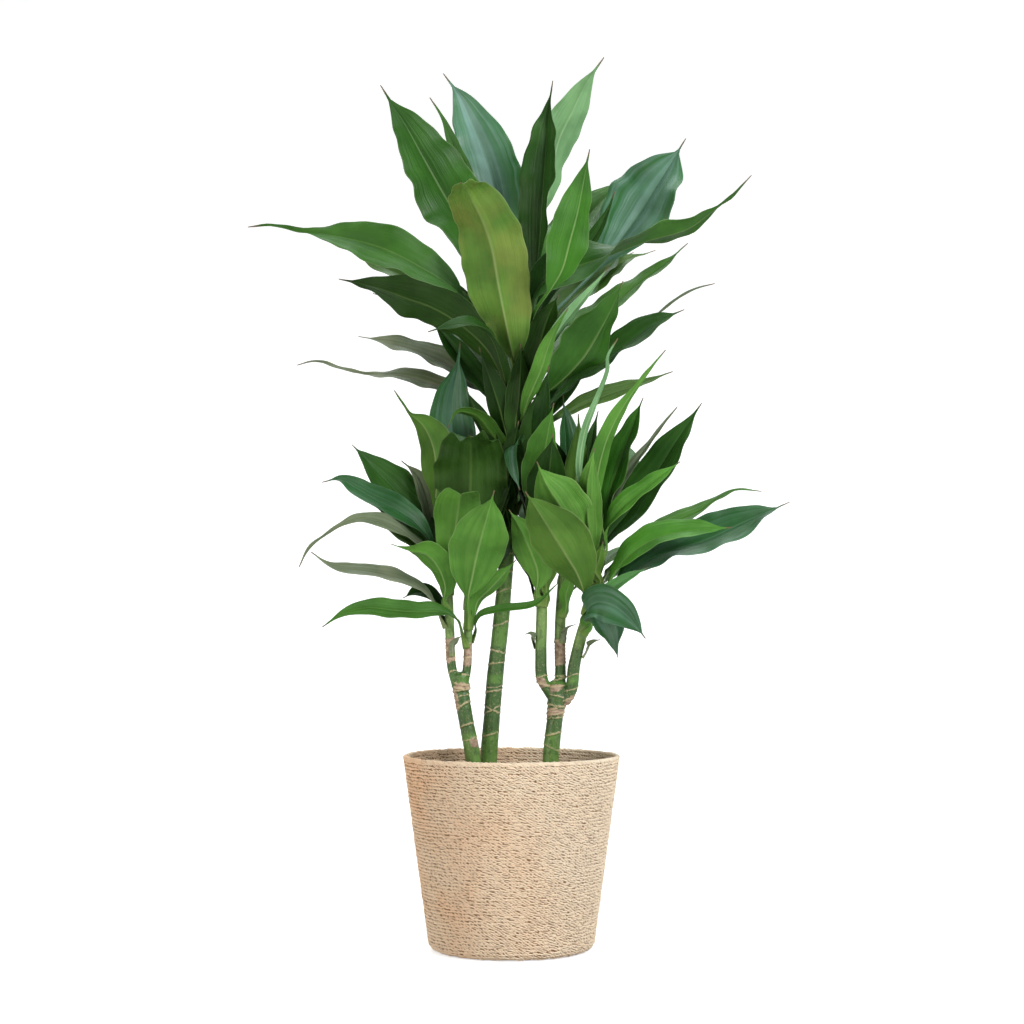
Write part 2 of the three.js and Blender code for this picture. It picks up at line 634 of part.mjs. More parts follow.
const [RIGHT_A, RIGHT_B, RIGHT_C] = [rightShootA, rightShootB, rightShootC];
const RIGHT = {
  // broad leaves that lean towards the viewer
  right_leaf_inner_left: {
    stem: RIGHT_A, from: 376, width: 46, face: [150, 165, 170], tone: "bright",
    via: [[29, 414, -30], [21, 438, -44], [10, 462, -54], [-3, 484, -60]],
  },
  right_leaf_front: {
    stem: RIGHT_C, from: 366, width: 72, face: [160, 175, 180], tone: "olive", petiole: 0.18, widest: 0.52,
    via: [[80, 394, -42], [73, 412, -54], [61, 432, -68], [47, 454, -82], [32, 478, -94], [15, 504, -106]],
  },
  right_leaf_second: {
    stem: RIGHT_C, from: 400, width: 64, face: [160, 170, 175], tone: "bright", fold: 26, widest: 0.6,
    via: [[82, 434, -38], [69, 461, -60], [53, 488, -76], [38, 513, -84], [28, 537, -90]],
  },

  // leaves that stand up
  right_leaf_young: {
    stem: RIGHT_A, from: 462, width: 46, face: [140, 155, 160], tone: "bright", fold: 30, petiole: 0.1,
    via: [[32, 505, -42], [36, 540, -64], [41, 572, -80], [47, 602, -92]],
  },
  right_leaf_dark_tall: {
    stem: RIGHT_A, from: 474, width: 38, face: [80, 50, 40], tone: "deep",
    via: [[35, 516, -18], [38, 565, -42], [39, 605, -64], [41, 643, -78]],
  },
  right_leaf_blue_tall: {
    stem: RIGHT_B, from: 468, width: 36, face: [20, 30, 40], tone: "blue", fold: 35,
    via: [[62, 515, 18], [60, 555, 22], [58, 588, 22], [57, 611, 22]],
  },
  right_leaf_dark_middle: {
    stem: RIGHT_B, from: 440, width: 48, face: [150, 150, 150], tone: "deep",
    via: [[56, 485, -14], [50, 525, -22], [46, 568, -26]],
  },
  right_leaf_strap: {
    stem: RIGHT_C, from: 438, width: 25, face: [140, 150, 150], tone: "bright", widest: 0.42, tail: 0.16,
    via: [
      [93, 484, -32], [95, 520, -40], [105, 560, -44], [123, 597, -46], [147, 631, -46], [171, 661, -46],
    ],
  },
  right_leaf_bright: {
    stem: RIGHT_C, from: 448, width: 42, face: [60, 45, 40], tone: "bright",
    via: [[107, 495, -6], [119, 532, -2], [131, 566, 0], [146, 608, 0]],
  },

  // leaves that spread to the right
  right_leaf_dark_big: {
    stem: RIGHT_C, from: 410, width: 52, face: [35, 25, 20], tone: "deep", widest: 0.46,
    via: [[104, 448, 8], [130, 482, 18], [156, 517, 24], [183, 560, 26], [211, 602, 26]],
  },
  right_leaf_light_upper: {
    stem: RIGHT_C, from: 424, width: 32, face: [110, 60, 42], tone: "bright",
    via: [[106, 462, -40], [124, 487, -46], [146, 505, -48], [166, 521, -50], [187, 537, -50]],
  },
  right_leaf_high_tip: {
    stem: RIGHT_C, from: 394, width: 34, face: [70, 50, 45], tone: "mid", tail: 0.12, widest: 0.45,
    via: [
      [112, 420, -2], [150, 450, 4], [184, 470, 6], [208, 481, 6], [228, 495, 6], [248, 505, 4],
      [277, 504, 2],
    ],
  },
  right_leaf_light_lower: {
    stem: RIGHT_C, from: 378, width: 44, face: [110, 60, 46], tone: "bright", widest: 0.5,
    via: [
      [106, 400, -42], [120, 420, -46], [138, 439, -50], [164, 453, -50], [194, 460, -50],
      [244, 464, -48],
    ],
  },
  right_leaf_long_glossy: {
    stem: RIGHT_C, from: 354, width: 60, face: [85, 55, 45, 45], tone: "blue", widest: 0.56,
    via: [
      [104, 384, -22], [122, 407, -24], [150, 427, -24], [184, 440, -22], [216, 450, -22],
      [246, 464, -20], [276, 478, -18], [308, 492, -14],
    ],
  },
  right_leaf_drooping: {
    stem: RIGHT_C, from: 346, width: 42, face: [140, 75, 50, 50], tone: "blue",
    via: [
      [84, 372, -46], [94, 381, -56], [110, 379, -66], [126, 368, -72], [138, 355, -76], [148, 341, -76],
    ],
  },

  // leaves of the far side
  right_leaf_back: {
    stem: RIGHT_B, from: 400, width: 56, face: [5, 0, 0], tone: "mid",
    via: [[62, 440, 44], [64, 478, 88], [60, 500, 132], [54, 504, 174]],
  },
  right_leaf_back_low: {
    stem: RIGHT_B, from: 376, width: 54, face: [45, 50, 50], tone: "mid",
    via: [[84, 408, 36], [112, 428, 74], [138, 440, 112], [160, 438, 146]],
  },
};

for (const leaves of [CROWN, LEFT, RIGHT]) {
  for (const [name, leaf] of Object.entries(leaves)) {
    add(name, leafGeometry(leaf), TONE[leaf.tone]);
  }
}

// ---------------------------------------------------------------- the whole plant

const canes = {
  left_cane: [leftCane, leftShootA, leftShootB],
  middle_cane: [middleCane],
  right_cane: [rightCane, rightShootA, rightShootB, rightShootC],
};

add("basket", basket(), ROPE);
add("nursery_pot", nurseryPot(), PLASTIC);
add("potting_soil", soil(Object.values(canes).map((stems) => grownTogether(stems, GAP))), EARTH);
for (const [name, stems] of Object.entries(canes)) {
  add(name, geometryOf(grownTogether(stems, 0)), CANE);
}

export default model;
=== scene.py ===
"""A potted corn plant: three canes with broad glossy leaves, in a sewn basket of seagrass rope.

The plant is seen from -Y, with +X to the right and +Z up. The origin is the centre of the
basket's underside. Sizes are given in millimetres and turned into metres by MM.
"""

import logging
import math
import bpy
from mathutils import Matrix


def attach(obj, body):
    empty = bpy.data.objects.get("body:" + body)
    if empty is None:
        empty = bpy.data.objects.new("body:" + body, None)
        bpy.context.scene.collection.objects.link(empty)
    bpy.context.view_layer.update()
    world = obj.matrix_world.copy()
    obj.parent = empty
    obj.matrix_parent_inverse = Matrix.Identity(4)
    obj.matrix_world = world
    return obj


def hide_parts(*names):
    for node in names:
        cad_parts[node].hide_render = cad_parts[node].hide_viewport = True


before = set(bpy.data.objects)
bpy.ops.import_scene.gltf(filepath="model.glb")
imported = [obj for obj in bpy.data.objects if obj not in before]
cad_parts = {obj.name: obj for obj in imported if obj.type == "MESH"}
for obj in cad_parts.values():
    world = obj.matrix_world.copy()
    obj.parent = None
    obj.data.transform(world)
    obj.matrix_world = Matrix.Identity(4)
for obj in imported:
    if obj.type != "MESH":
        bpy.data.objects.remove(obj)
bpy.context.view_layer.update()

import zlib
from dataclasses import dataclass
from enum import Enum
from functools import cache
from typing import Callable, Iterable, Sequence

import bpy
import numpy as np
from mathutils import Matrix, Vector

MM = 0.001
BODY = "root"
LOG = logging.getLogger("corn_plant")

Colour = tuple[float, float, float]
Point = tuple[float, float, float]
Socket = bpy.types.NodeSocket
Shape = tuple[np.ndarray, list]
Mottle = tuple[float, float, float]


# ---------------------------------------------------------------- helpers


def linear(code: str) -> tuple[float, float, float, float]:
    """Turn a colour of six hexadecimal digits into the linear values that shaders take.

    Args:
        code: The colour as a screen shows it, such as "cdab83".

    Returns:
        Linear red, green and blue, and an alpha of 1.
    """
    shown = [int(code[i:i + 2], 16) / 255 for i in (0, 2, 4)]
    return (*(c / 12.92 if c <= 0.04045 else ((c + 0.055) / 1.055) ** 2.4 for c in shown), 1.0)


def smooth(low: float, high: float, value: np.ndarray) -> np.ndarray:
    """Return 0 below low, 1 above high, and an eased change between them."""
    share = np.clip((value - low) / (high - low), 0, 1)
    return share * share * (3 - 2 * share)


def seed_of(name: str) -> int:
    """Return a number that is always the same for a name."""
    return zlib.crc32(name.encode()) % 100_000


class Nodes:
    """Adds nodes to one tree and links them, so that a shader reads as a few lines."""

    def __init__(self, tree: bpy.types.NodeTree) -> None:
        """Take the tree that the nodes go into."""
        self.tree = tree

    def add(self, kind: str, settings: dict | None = None, **inputs: object) -> bpy.types.Node:
        """Add a node and fill in its inputs.

        Args:
            kind: The node's type.
            settings: Values of the node's own properties.
            **inputs: A socket or a value for each input, by its name with _ for a space.

        Returns:
            The new node.
        """
        node = self.tree.nodes.new(kind)
        for name, value in (settings or {}).items():
            setattr(node, name, value)
        for name, value in inputs.items():
            self.plug(node.inputs[name.replace("_", " ")], value)
        return node

    def plug(self, socket: Socket, value: object) -> None:
        """Link a socket into an input, or set the input to a plain value."""
        if isinstance(value, Socket):
            self.tree.links.new(value, socket)
        elif value is not None:
            socket.default_value = value

    def filled(self, node: bpy.types.Node, places: Sequence[int | str], *values: object) -> bpy.types.Node:
        """Fill in some of a node's inputs, named by their places, and return the node."""
        for place, value in zip(places, values):
            self.plug(node.inputs[place], value)
        return node

    def math(self, operation: str, *values: object, clamp: bool = False) -> Socket:
        """Return the result of a Math node on one to three values."""
        node = self.add("ShaderNodeMath", {"operation": operation, "use_clamp": clamp})
        return self.filled(node, range(3), *values).outputs[0]

    def times(self, first: object, second: object) -> Socket:
        """Return the product of two values."""
        return self.math("MULTIPLY", first, second)

    def plus(self, first: object, second: object) -> Socket:
        """Return the sum of two values."""
        return self.math("ADD", first, second)

    def minus(self, first: object, second: object) -> Socket:
        """Return the difference of two values."""
        return self.math("SUBTRACT", first, second)

    def vector(self, operation: str, *values: object) -> Socket:
        """Return the result of a Vector Math node, which is a value only for a dot product."""
        node = self.add("ShaderNodeVectorMath", {"operation": operation})
        places = (0, 3) if operation == "SCALE" else (0, 1)
        return self.filled(node, places, *values).outputs[1 if operation == "DOT_PRODUCT" else 0]

    def joined(self, *values: object) -> Socket:
        """Return a vector of three values."""
        return self.filled(self.add("ShaderNodeCombineXYZ"), range(3), *values).outputs[0]

    def parted(self, vector: Socket) -> bpy.types.bpy_prop_collection:
        """Return the three values of a vector."""
        return self.add("ShaderNodeSeparateXYZ", Vector=vector).outputs

    def attribute(self, name: str, output: str = "Fac") -> Socket:
        """Return an attribute of the mesh."""
        return self.add("ShaderNodeAttribute", {"attribute_name": name}).outputs[output]

    def mix(self, share: object, first: object, second: object, blend: str = "MIX") -> Socket:
        """Return the mix of two colours.

        Args:
            share: How much of the second colour goes in, from 0 to 1.
            first: The colour at a share of 0.
            second: The colour at a share of 1, or the one that is blended in.
            blend: The way in which they are blended.

        Returns:
            The colour output of the Mix node.
        """
        node = self.add("ShaderNodeMix", {"data_type": "RGBA", "blend_type": blend})
        return self.filled(node, ("Factor", 6, 7), share, first, second).outputs[2]

    def cover(self, colour: object, code: str, mask: object, share: object = None) -> Socket:
        """Return a colour with another one over it.

        Args:
            colour: The colour below.
            code: The colour above, in six hexadecimal digits.
            mask: Where the colour above lies, from 0 to 1.
            share: How much of it shows there, which is all of it unless given.

        Returns:
            The colour that results.
        """
        return self.mix(mask if share is None else self.times(mask, share), colour, linear(code))

    def spread(self, value: object, low: float, high: float, start: float = 0.0, end: float = 1.0) -> Socket:
        """Return a value mapped from low to high onto start to end, and held there.

        Args:
            value: The value that is mapped.
            low: The value that becomes start.
            high: The value that becomes end.
            start: The lowest result.
            end: The highest result.

        Returns:
            The mapped value.
        """
        names = ("Value", "From Min", "From Max", "To Min", "To Max")
        return self.filled(self.add("ShaderNodeMapRange"), names, value, low, high, start, end).outputs[0]

    def noise(self, place: object, scale: object, detail: float = 2.0) -> Socket:
        """Return a soft noise between 0 and 1 at a place."""
        return self.add("ShaderNodeTexNoise", Vector=place, Scale=scale, Detail=detail).outputs[0]

    def group(self, tree: bpy.types.NodeTree, **inputs: object) -> bpy.types.bpy_prop_collection:
        """Place a node group, fill in its inputs and return its outputs."""
        return self.add("ShaderNodeGroup", {"node_tree": tree}, **inputs).outputs

    def stored(self, geometry: Socket, name: str, value: object, kind: str = "FLOAT") -> Socket:
        """Return a geometry with a value stored on its points as a named attribute."""
        return self.add("GeometryNodeStoreNamedAttribute", {"data_type": kind, "domain": "POINT"},
                        Geometry=geometry, Name=name, Value=value).outputs[0]

    def painted(self, geometry: Socket, material: Socket) -> Socket:
        """Return a geometry with its instances made real and its material set."""
        real = self.add("GeometryNodeRealizeInstances", Geometry=geometry).outputs[0]
        return self.add("GeometryNodeSetMaterial", Geometry=real, Material=material).outputs[0]

    def giving(self, **results: Socket) -> bpy.types.NodeTree:
        """Finish a node group.

        Args:
            **results: What each of its outputs gives, a Geometry or else a value.

        Returns:
            The group.
        """
        for label in results:
            kind = "NodeSocketGeometry" if label == "Geometry" else "NodeSocketFloat"
            self.tree.interface.new_socket(label, in_out="OUTPUT", socket_type=kind)
        self.add("NodeGroupOutput", **results)
        return self.tree


def new_group(name: str, inputs: dict[str, float | None]) -> tuple[Nodes, dict[str, Socket]]:
    """Begin a node group, a Geometry Nodes tree if one of its inputs is a Geometry.

    Args:
        name: The group's name.
        inputs: The default value of each input by name, or None for a Geometry or a Material.

    Returns:
        A builder for the group, and its inputs by name.
    """
    tree = bpy.data.node_groups.new(name, "GeometryNodeTree" if "Geometry" in inputs else "ShaderNodeTree")
    kinds = {float: "NodeSocketFloat", int: "NodeSocketInt"}
    for label, value in inputs.items():
        kind = kinds.get(type(value), f"NodeSocket{label}")
        socket = tree.interface.new_socket(label, in_out="INPUT", socket_type=kind)
        if value is not None:
            socket.default_value = value
    source = tree.nodes.new("NodeGroupInput")
    return Nodes(tree), {socket.name: socket for socket in source.outputs if socket.name}


# ---------------------------------------------------------------- shared effects


@cache
def streak_group() -> bpy.types.NodeTree:
    """Build the parallel veins of a blade, which run from its foot to its tip.

    Returns:
        A group that gives the fine veins, the broad streaks, the midrib, the margin and the
        place along the blade, each between 0 and 1.
    """
    n, given = new_group("blade_streaks", {"Fine Count": 60.0, "Broad Count": 9.0, "Rib Width": 0.03})
    across, along, _ = n.parted(n.add("ShaderNodeUVMap", {"uv_map": "blade"}).outputs[0])
    shift = n.times(n.attribute("own"), 43.0)
    lines = {}
    for label, drift, low, high in (("Fine", 2.2, 0.34, 0.66), ("Broad", 1.1, 0.4, 0.62)):
        place = n.joined(n.times(across, given[f"{label} Count"]), n.times(along, drift), shift)
        lines[label] = n.spread(n.noise(place, 1.0), low, high)
    off = n.math("ABSOLUTE", n.minus(across, 0.5))
    rib = n.math("SUBTRACT", 1.0, n.math("DIVIDE", off, given["Rib Width"]), clamp=True)
    return n.giving(**lines, Rib=rib, Margin=n.spread(off, 0.478, 0.497), Along=along)


@cache
def mottle_group() -> bpy.types.NodeTree:
    """Build soft blotches on a piece's own coordinates, for tone that varies over a surface.

    Returns:
        A group that gives where the blotches are, from 0 to 1.
    """
    n, given = new_group("mottle", {"Scale": 40.0, "Low": 0.35, "High": 0.65})
    noise = n.noise(n.add("ShaderNodeTexCoord").outputs["Object"], given["Scale"], 3.0)
    return n.giving(Mask=n.spread(noise, given["Low"], given["High"]))


@cache
def fibre_group() -> bpy.types.NodeTree:
    """Build fine fibres along a strand or a cane, from the attribute "fibre".

    Returns:
        A group that gives the fibres and the slower change of tone along them.
    """
    n, given = new_group("fibres", {"Across": 2.0, "Along": 60.0})
    x, y, z = n.parted(n.attribute("fibre", "Vector"))
    far = n.times(z, given["Along"])
    spot = n.joined(n.times(x, given["Across"]), n.times(y, given["Across"]), far)
    slow = n.joined(0.0, 7.0, far)
    return n.giving(Fibre=n.spread(n.noise(spot, 1.0, 3.0), 0.3, 0.7),
                    Length=n.spread(n.noise(slow, 0.8, 1.0), 0.3, 0.7))


# ---------------------------------------------------------------- finishes


def blank_material(name: str) -> tuple[bpy.types.Material, Nodes, bpy.types.Node]:
    """Make a material with one Principled shader.

    Args:
        name: The material's name.

    Returns:
        The material, a builder for its nodes, and the Principled node.
    """
    material = bpy.data.materials.new(name)
    material.use_nodes = True
    material.node_tree.nodes.clear()
    n = Nodes(material.node_tree)
    shader = n.add("ShaderNodeBsdfPrincipled")
    n.add("ShaderNodeOutputMaterial", Surface=shader.outputs[0])
    return material, n, shader


class Finish:
    """What all finishes share.

    relief is the strength of the fine relief and depth its height in millimetres. Colours are six
    hexadecimal digits each, as a screen shows them. A Mottle has the scale of a noise and the two
    values of it between which the blotches fade in.
    """

    relief: float = 0.4
    depth: float = 0.4
    specular: float = 0.5

    def paint(self, n: Nodes) -> tuple[Socket, Socket, Socket]:
        """Add the nodes of the surface.

        Args:
            n: A builder for the material's nodes.

        Returns:
            The colour, the roughness and the height of the relief over the surface.
        """
        raise NotImplementedError

    @cache
    def material(self, name: str) -> bpy.types.Material:
        """Build the finish as a material, at the first call.

        Args:
            name: The material's name.

        Returns:
            The material.
        """
        material, n, shader = blank_material(name)
        colour, roughness, height = self.paint(n)
        bump = n.add("ShaderNodeBump", Strength=self.relief, Distance=self.depth * MM, Height=height)
        n.filled(shader, ("Base Color", "Roughness", "Normal", "Specular IOR Level"),
                 colour, roughness, bump.outputs[0], self.specular)
        return material

    @staticmethod
    def mask(n: Nodes, mottle: Mottle) -> Socket:
        """Return the blotches of a mottle."""
        return n.group(mottle_group(), **dict(zip(("Scale", "Low", "High"), mottle)))[0]


@dataclass(frozen=True)
class BladeFinish(Finish):
    """How one face of a leaf looks.

    base is the blade, vein the fine lines in it, the third colour the broad stripes, rib the midrib,
    edge the margin, foot the pale end at the stem and withered the dry point. On the upper face of
    the blue tone the third colour is pale blue-grey: partly the leaf's own paler stripes, partly
    painted sheen of reflected light. streaks is how much of the broad stripes shows, middle how much
    of their colour lies in a band along the midrib, which is painted sheen, clouds how much a blade
    darkens in soft patches, and blush how much of the yellowish colour blushed it has in others.
    cloudy and darkest are what its colour is multiplied by in the patches and where its own shade
    is 1; that shade is partly the leaf's own darker green, partly painted shade on leaves deep in the
    plant.
    """

    base: str
    vein: str
    streak: str
    rib: str
    edge: str
    foot: str = "8a9f55"
    withered: str = "6f5f48"
    blushed: str = "a3944e"
    blush: float = 0.0
    middle: float = 0.0
    streaks: float = 0.35
    clouds: float = 0.65
    cloud_patches: Mottle = (24.0, 0.38, 0.6)
    blush_patches: Mottle = (17.0, 0.42, 0.62)
    cloudy: Colour = (0.5, 0.58, 0.52)
    darkest: Colour = (0.36, 0.52, 0.32)
    roughness: float = 0.34
    specular: float = 0.26
    rib_width: float = 0.028
    middle_width: float = 0.34
    relief: float = 0.34
    depth: float = 1.2

    def paint(self, n: Nodes) -> tuple[Socket, Socket, Socket]:
        """Paint the blade; see Finish.paint."""
        lines = n.group(streak_group(), Rib_Width=self.rib_width)
        fine, broad, along = lines["Fine"], lines["Broad"], lines["Along"]
        own = n.attribute("own")
        colour = n.mix(n.times(fine, 0.6), linear(self.base), linear(self.vein))
        # On the blue tone's upper face the pale blue-grey stripes and the midrib band below are painted sheen
        # of reflected light over the leaf's own paler stripes.
        faded = n.spread(own, 0.0, 1.0, self.streaks, 0.4 * self.streaks)
        colour = n.cover(colour, self.streak, broad, faded)
        inner = n.group(streak_group(), Rib_Width=self.middle_width)["Rib"]
        colour = n.cover(colour, self.streak, inner, n.spread(own, 0.0, 1.0, self.middle, 0.0))
        shaded = n.mix(1.0, colour, (*self.cloudy, 1.0), "MULTIPLY")
        colour = n.mix(n.times(self.mask(n, self.cloud_patches), self.clouds), colour, shaded)
        glow = self.mask(n, self.blush_patches)
        colour = n.cover(colour, self.blushed, glow, n.spread(own, 0.1, 0.6, self.blush, 0.0))
        # Darker by the leaf's shade: partly its own darker green, partly painted shade on leaves deep in the
        # plant.
        colour = n.mix(own, colour, n.mix(1.0, colour, (*self.darkest, 1.0), "MULTIPLY"))
        colour = n.cover(colour, self.rib, lines["Rib"], n.spread(along, 0.95, 0.25, 0.12, 0.62))
        colour = n.cover(colour, self.edge, lines["Margin"], 0.3)
        colour = n.cover(colour, self.foot, n.spread(along, 0.16, 0.02, 0.0, 0.6))
        ragged = n.plus(along, n.times(fine, 0.012))
        colour = n.cover(colour, self.withered, n.spread(ragged, 0.962, 0.985))
        gloss = n.spread(fine, 0.0, 1.0, self.roughness - 0.04, self.roughness + 0.08)
        return colour, gloss, n.plus(n.times(fine, 0.5), n.times(broad, 0.9))


class Tone(Enum):
    """The tones of a leaf: the name of its finish, its upper face and its underside."""

    DEEP = ("leaf_deep",
            BladeFinish("2e561a", "386422", "4f7f42", "54763c", "66845a", roughness=0.33, specular=0.2),
            BladeFinish("33541a", "3d6022", "4f7434", "6f8848", "748658", roughness=0.46, specular=0.18))
    MID = ("leaf_mid",
           BladeFinish("467826", "528630", "6a9a50", "7d9c58", "8ba074", roughness=0.38, specular=0.22),
           BladeFinish("4d7a2a", "588632", "6e9a48", "92a668", "93a676", roughness=0.46, specular=0.2))
    OLIVE = ("leaf_olive",
             BladeFinish("567a32", "62863a", "80a05c", "8fa268", "98a97a", roughness=0.38, specular=0.22),
             BladeFinish("628a34", "6e963c", "88a852", "a5b176", "a2ae7c", roughness=0.48, specular=0.2,
                         blush=0.5))
    BRIGHT = ("leaf_bright",
              BladeFinish("52922c", "5e9e34", "80b45a", "94b468", "a2b880", roughness=0.38, specular=0.22),
              BladeFinish("609638", "6ca240", "86b458", "a6bc7c", "a6b884", roughness=0.48, specular=0.2))
    MINT = ("leaf_mint",
            BladeFinish("5e9a52", "6aa65c", "8cb886", "9cbc8c", "a8c29c", roughness=0.36),
            BladeFinish("82b078", "8eba84", "a0c498", "b4ca9c", "b2c6a2", roughness=0.46))
    BLUE = ("leaf_blue",
            # pale blue-grey stripes and midrib band: partly the leaf's own stripes, partly painted sheen of
            # reflected light
            BladeFinish("38753a", "428044", "a4c2c4", "6b966c", "7a9c80", streaks=0.4, roughness=0.34,
                        specular=0.36, middle=0.55),
            BladeFinish("4c7a42", "58864c", "76986c", "8ea67c", "98aa8c", roughness=0.45))
    DRY = ("leaf_dry",
           BladeFinish("747f60", "848e6c", "b0b29e", "acac90", "b2b09a", roughness=0.45),
           BladeFinish("8a9072", "989c80", "b2b29e", "b6b49c", "b4b29c", roughness=0.52))

    @property
    def slot(self) -> str:
        """The record's name for the finish."""
        return self.value[0]

    @property
    def materials(self) -> tuple[bpy.types.Material, ...]:
        """The materials of the upper face and the underside."""
        return tuple(finish.material(f"{self.slot}_{face}")
                     for finish, face in zip(self.value[1:], ("upper", "under")))


@dataclass(frozen=True)
class RopeFinish(Finish):
    """Twisted seagrass: straw-coloured fibres that vary from strand to strand.

    rim is the height of the basket's rim in metres. Between the two depths of under_rim below it the
    strand faces that look up or down into the grooves between courses turn to a darker brown, which
    is painted groove shade. The rope turns to warm, in random patches, from the first to the second x
    of the warm side, which lies to the left: partly the rope's own warmer batches, partly a painted
    warm side light.
    """

    rim: float
    light: str = "fff6e4"
    tan: str = "f9dcb8"
    warm: str = "f8ba80"
    brown: str = "8c5f38"
    flank: str = "9c6c42"
    warm_patches: Mottle = (14.0, 0.4, 0.62)
    warm_side: tuple[float, float] = (0.06, -0.11)
    under_rim: tuple[float, float] = (0.003, 0.008)
    roughness: tuple[float, float] = (0.85, 0.7)
    relief: float = 0.5
    specular: float = 0.25

    def paint(self, n: Nodes) -> tuple[Socket, Socket, Socket]:
        """Paint the strands; see Finish.paint."""
        lines = n.group(fibre_group(), Across=9.0, Along=110.0)
        fibre = lines["Fibre"]
        colour = n.mix(fibre, linear(self.tan), linear(self.light))
        place = n.add("ShaderNodeTexCoord").outputs
        x, _, z = n.parted(place["Object"])
        # Painted warm side light: warm random patches that grow towards the left side, partly the rope's own
        # warmer batches.
        warmth = n.plus(self.mask(n, self.warm_patches), 0.4)
        colour = n.cover(colour, self.warm, warmth, n.spread(x, *self.warm_side, 0.04, 0.36))
        colour = n.cover(colour, self.brown, n.spread(lines["Length"], 0.36, 0.0, 0.0, 0.26))
        # Painted groove shade: strand faces that look up or down into the grooves between courses turn darker
        # brown, fading out at the top of the rim.
        outward = n.vector("NORMALIZE", n.vector("MULTIPLY", place["Object"], (1.0, 1.0, 0.0)))
        crown = n.math("ABSOLUTE", n.vector("DOT_PRODUCT", outward, place["Normal"]))
        below = n.spread(z, *(self.rim - depth for depth in self.under_rim), 0.0, 0.46)
        colour = n.cover(colour, self.flank, n.spread(crown, 0.82, 0.3), below)
        return colour, n.spread(fibre, 0.0, 1.0, *self.roughness), fibre


@dataclass(frozen=True)
class CoreFinish(Finish):
    """A dark sheet inside the rope wall, seen only between the strands: its dark brown is painted shade in
    the gaps.
    """

    dark: str = "7c583c"
    light: str = "a47a52"
    patches: Mottle = (300.0, 0.35, 0.65)
    roughness: tuple[float, float] = (0.85, 0.95)
    depth: float = 0.5

    def paint(self, n: Nodes) -> tuple[Socket, Socket, Socket]:
        """Paint the core; see Finish.paint."""
        patch = self.mask(n, self.patches)
        colour = n.mix(patch, linear(self.dark), linear(self.light))
        return colour, n.spread(patch, 0.0, 1.0, *self.roughness), patch


@dataclass(frozen=True)
class CaneFinish(Finish):
    """Green cane with tan ring scars and papery brown patches, which its attributes place."""

    green: str = "4a772e"
    light: str = "7fb04a"
    deep: str = "24451f"
    pale: str = "86a05c"
    fresh: str = "86a25c"
    scar: str = "c6b48c"
    bark: str = "7c624e"
    flake: str = "c8b096"
    grain: Mottle = (420.0, 0.3, 0.7)
    clouds: Mottle = (60.0, 0.38, 0.62)
    spots: Mottle = (150.0, 0.54, 0.64)
    specks: Mottle = (520.0, 0.58, 0.66)
    roughness: tuple[float, float] = (0.4, 0.8)

    def paint(self, n: Nodes) -> tuple[Socket, Socket, Socket]:
        """Paint the cane; see Finish.paint."""
        lines = n.group(fibre_group(), Across=14.0, Along=14.0)
        fine = self.mask(n, self.grain)
        bands = n.spread(n.group(fibre_group(), Across=1.0, Along=40.0)["Length"], 0.5, 0.75)
        colour = n.mix(n.times(lines["Fibre"], 0.6), linear(self.green), linear(self.light))
        for code, mask, share in (
                (self.deep, self.mask(n, self.clouds), 0.35), (self.deep, bands, 0.72),
                (self.pale, lines["Length"], 0.5), (self.fresh, n.attribute("young"), 0.6),
                (self.deep, self.mask(n, self.spots), 0.45),
                (self.scar, self.mask(n, self.specks), 0.25)):
            colour = n.cover(colour, code, mask, share)
        layers = n.group(fibre_group(), Across=1.6, Along=330.0)["Fibre"]
        papery = n.mix(layers, linear(self.bark), linear(self.flake))
        flaky = n.spread(n.plus(n.attribute("bark"), n.times(n.minus(fine, 0.5), 0.5)), 0.35, 0.6)
        colour = n.mix(flaky, colour, papery)
        broken = n.times(n.minus(fine, 0.6), 0.7)
        line = n.spread(n.plus(n.attribute("scar"), broken), 0.3, 0.8, 0.0, 0.85)
        dull = n.math("MAXIMUM", flaky, line)
        return (n.cover(colour, self.scar, line), n.spread(dull, 0.0, 1.0, *self.roughness),
                n.plus(n.times(lines["Fibre"], 0.4), n.times(dull, fine)))


@dataclass(frozen=True)
class PlasticFinish(Finish):
    """Thin black moulded plastic with a dusty bloom."""

    black: str = "191a1b"
    dust: str = "4a4036"
    dusty: Mottle = (55.0, 0.5, 0.8)
    grain: Mottle = (1400.0, 0.35, 0.65)
    roughness: tuple[float, float] = (0.42, 0.75)
    relief: float = 0.12
    depth: float = 0.2

    def paint(self, n: Nodes) -> tuple[Socket, Socket, Socket]:
        """Paint the plastic; see Finish.paint."""
        dusty = self.mask(n, self.dusty)
        colour = n.mix(n.times(dusty, 0.5), linear(self.black), linear(self.dust))
        return colour, n.spread(dusty, 0.0, 1.0, *self.roughness), self.mask(n, self.grain)


@dataclass(frozen=True)
class SoilFinish(Finish):
    """Dark potting mix with paler bits of bark and fibre."""

    dark: str = "2b1d13"
    brown: str = "5b412b"
    bark: str = "8a6c4c"
    lumps: Mottle = (120.0, 0.35, 0.7)
    bits: Mottle = (700.0, 0.55, 0.75)
    roughness: tuple[float, float] = (0.9, 0.98)
    relief: float = 0.7
    depth: float = 1.0

    def paint(self, n: Nodes) -> tuple[Socket, Socket, Socket]:
        """Paint the soil; see Finish.paint."""
        lumps = self.mask(n, self.lumps)
        bits = self.mask(n, self.bits)
        colour = n.cover(n.mix(lumps, linear(self.dark), linear(self.brown)), self.bark, bits, 0.4)
        return colour, n.spread(lumps, 0.0, 1.0, *self.roughness), bits


# ---------------------------------------------------------------- places and curves

EYE_DISTANCE = 2500.0
EYE_HEIGHT = 395.0


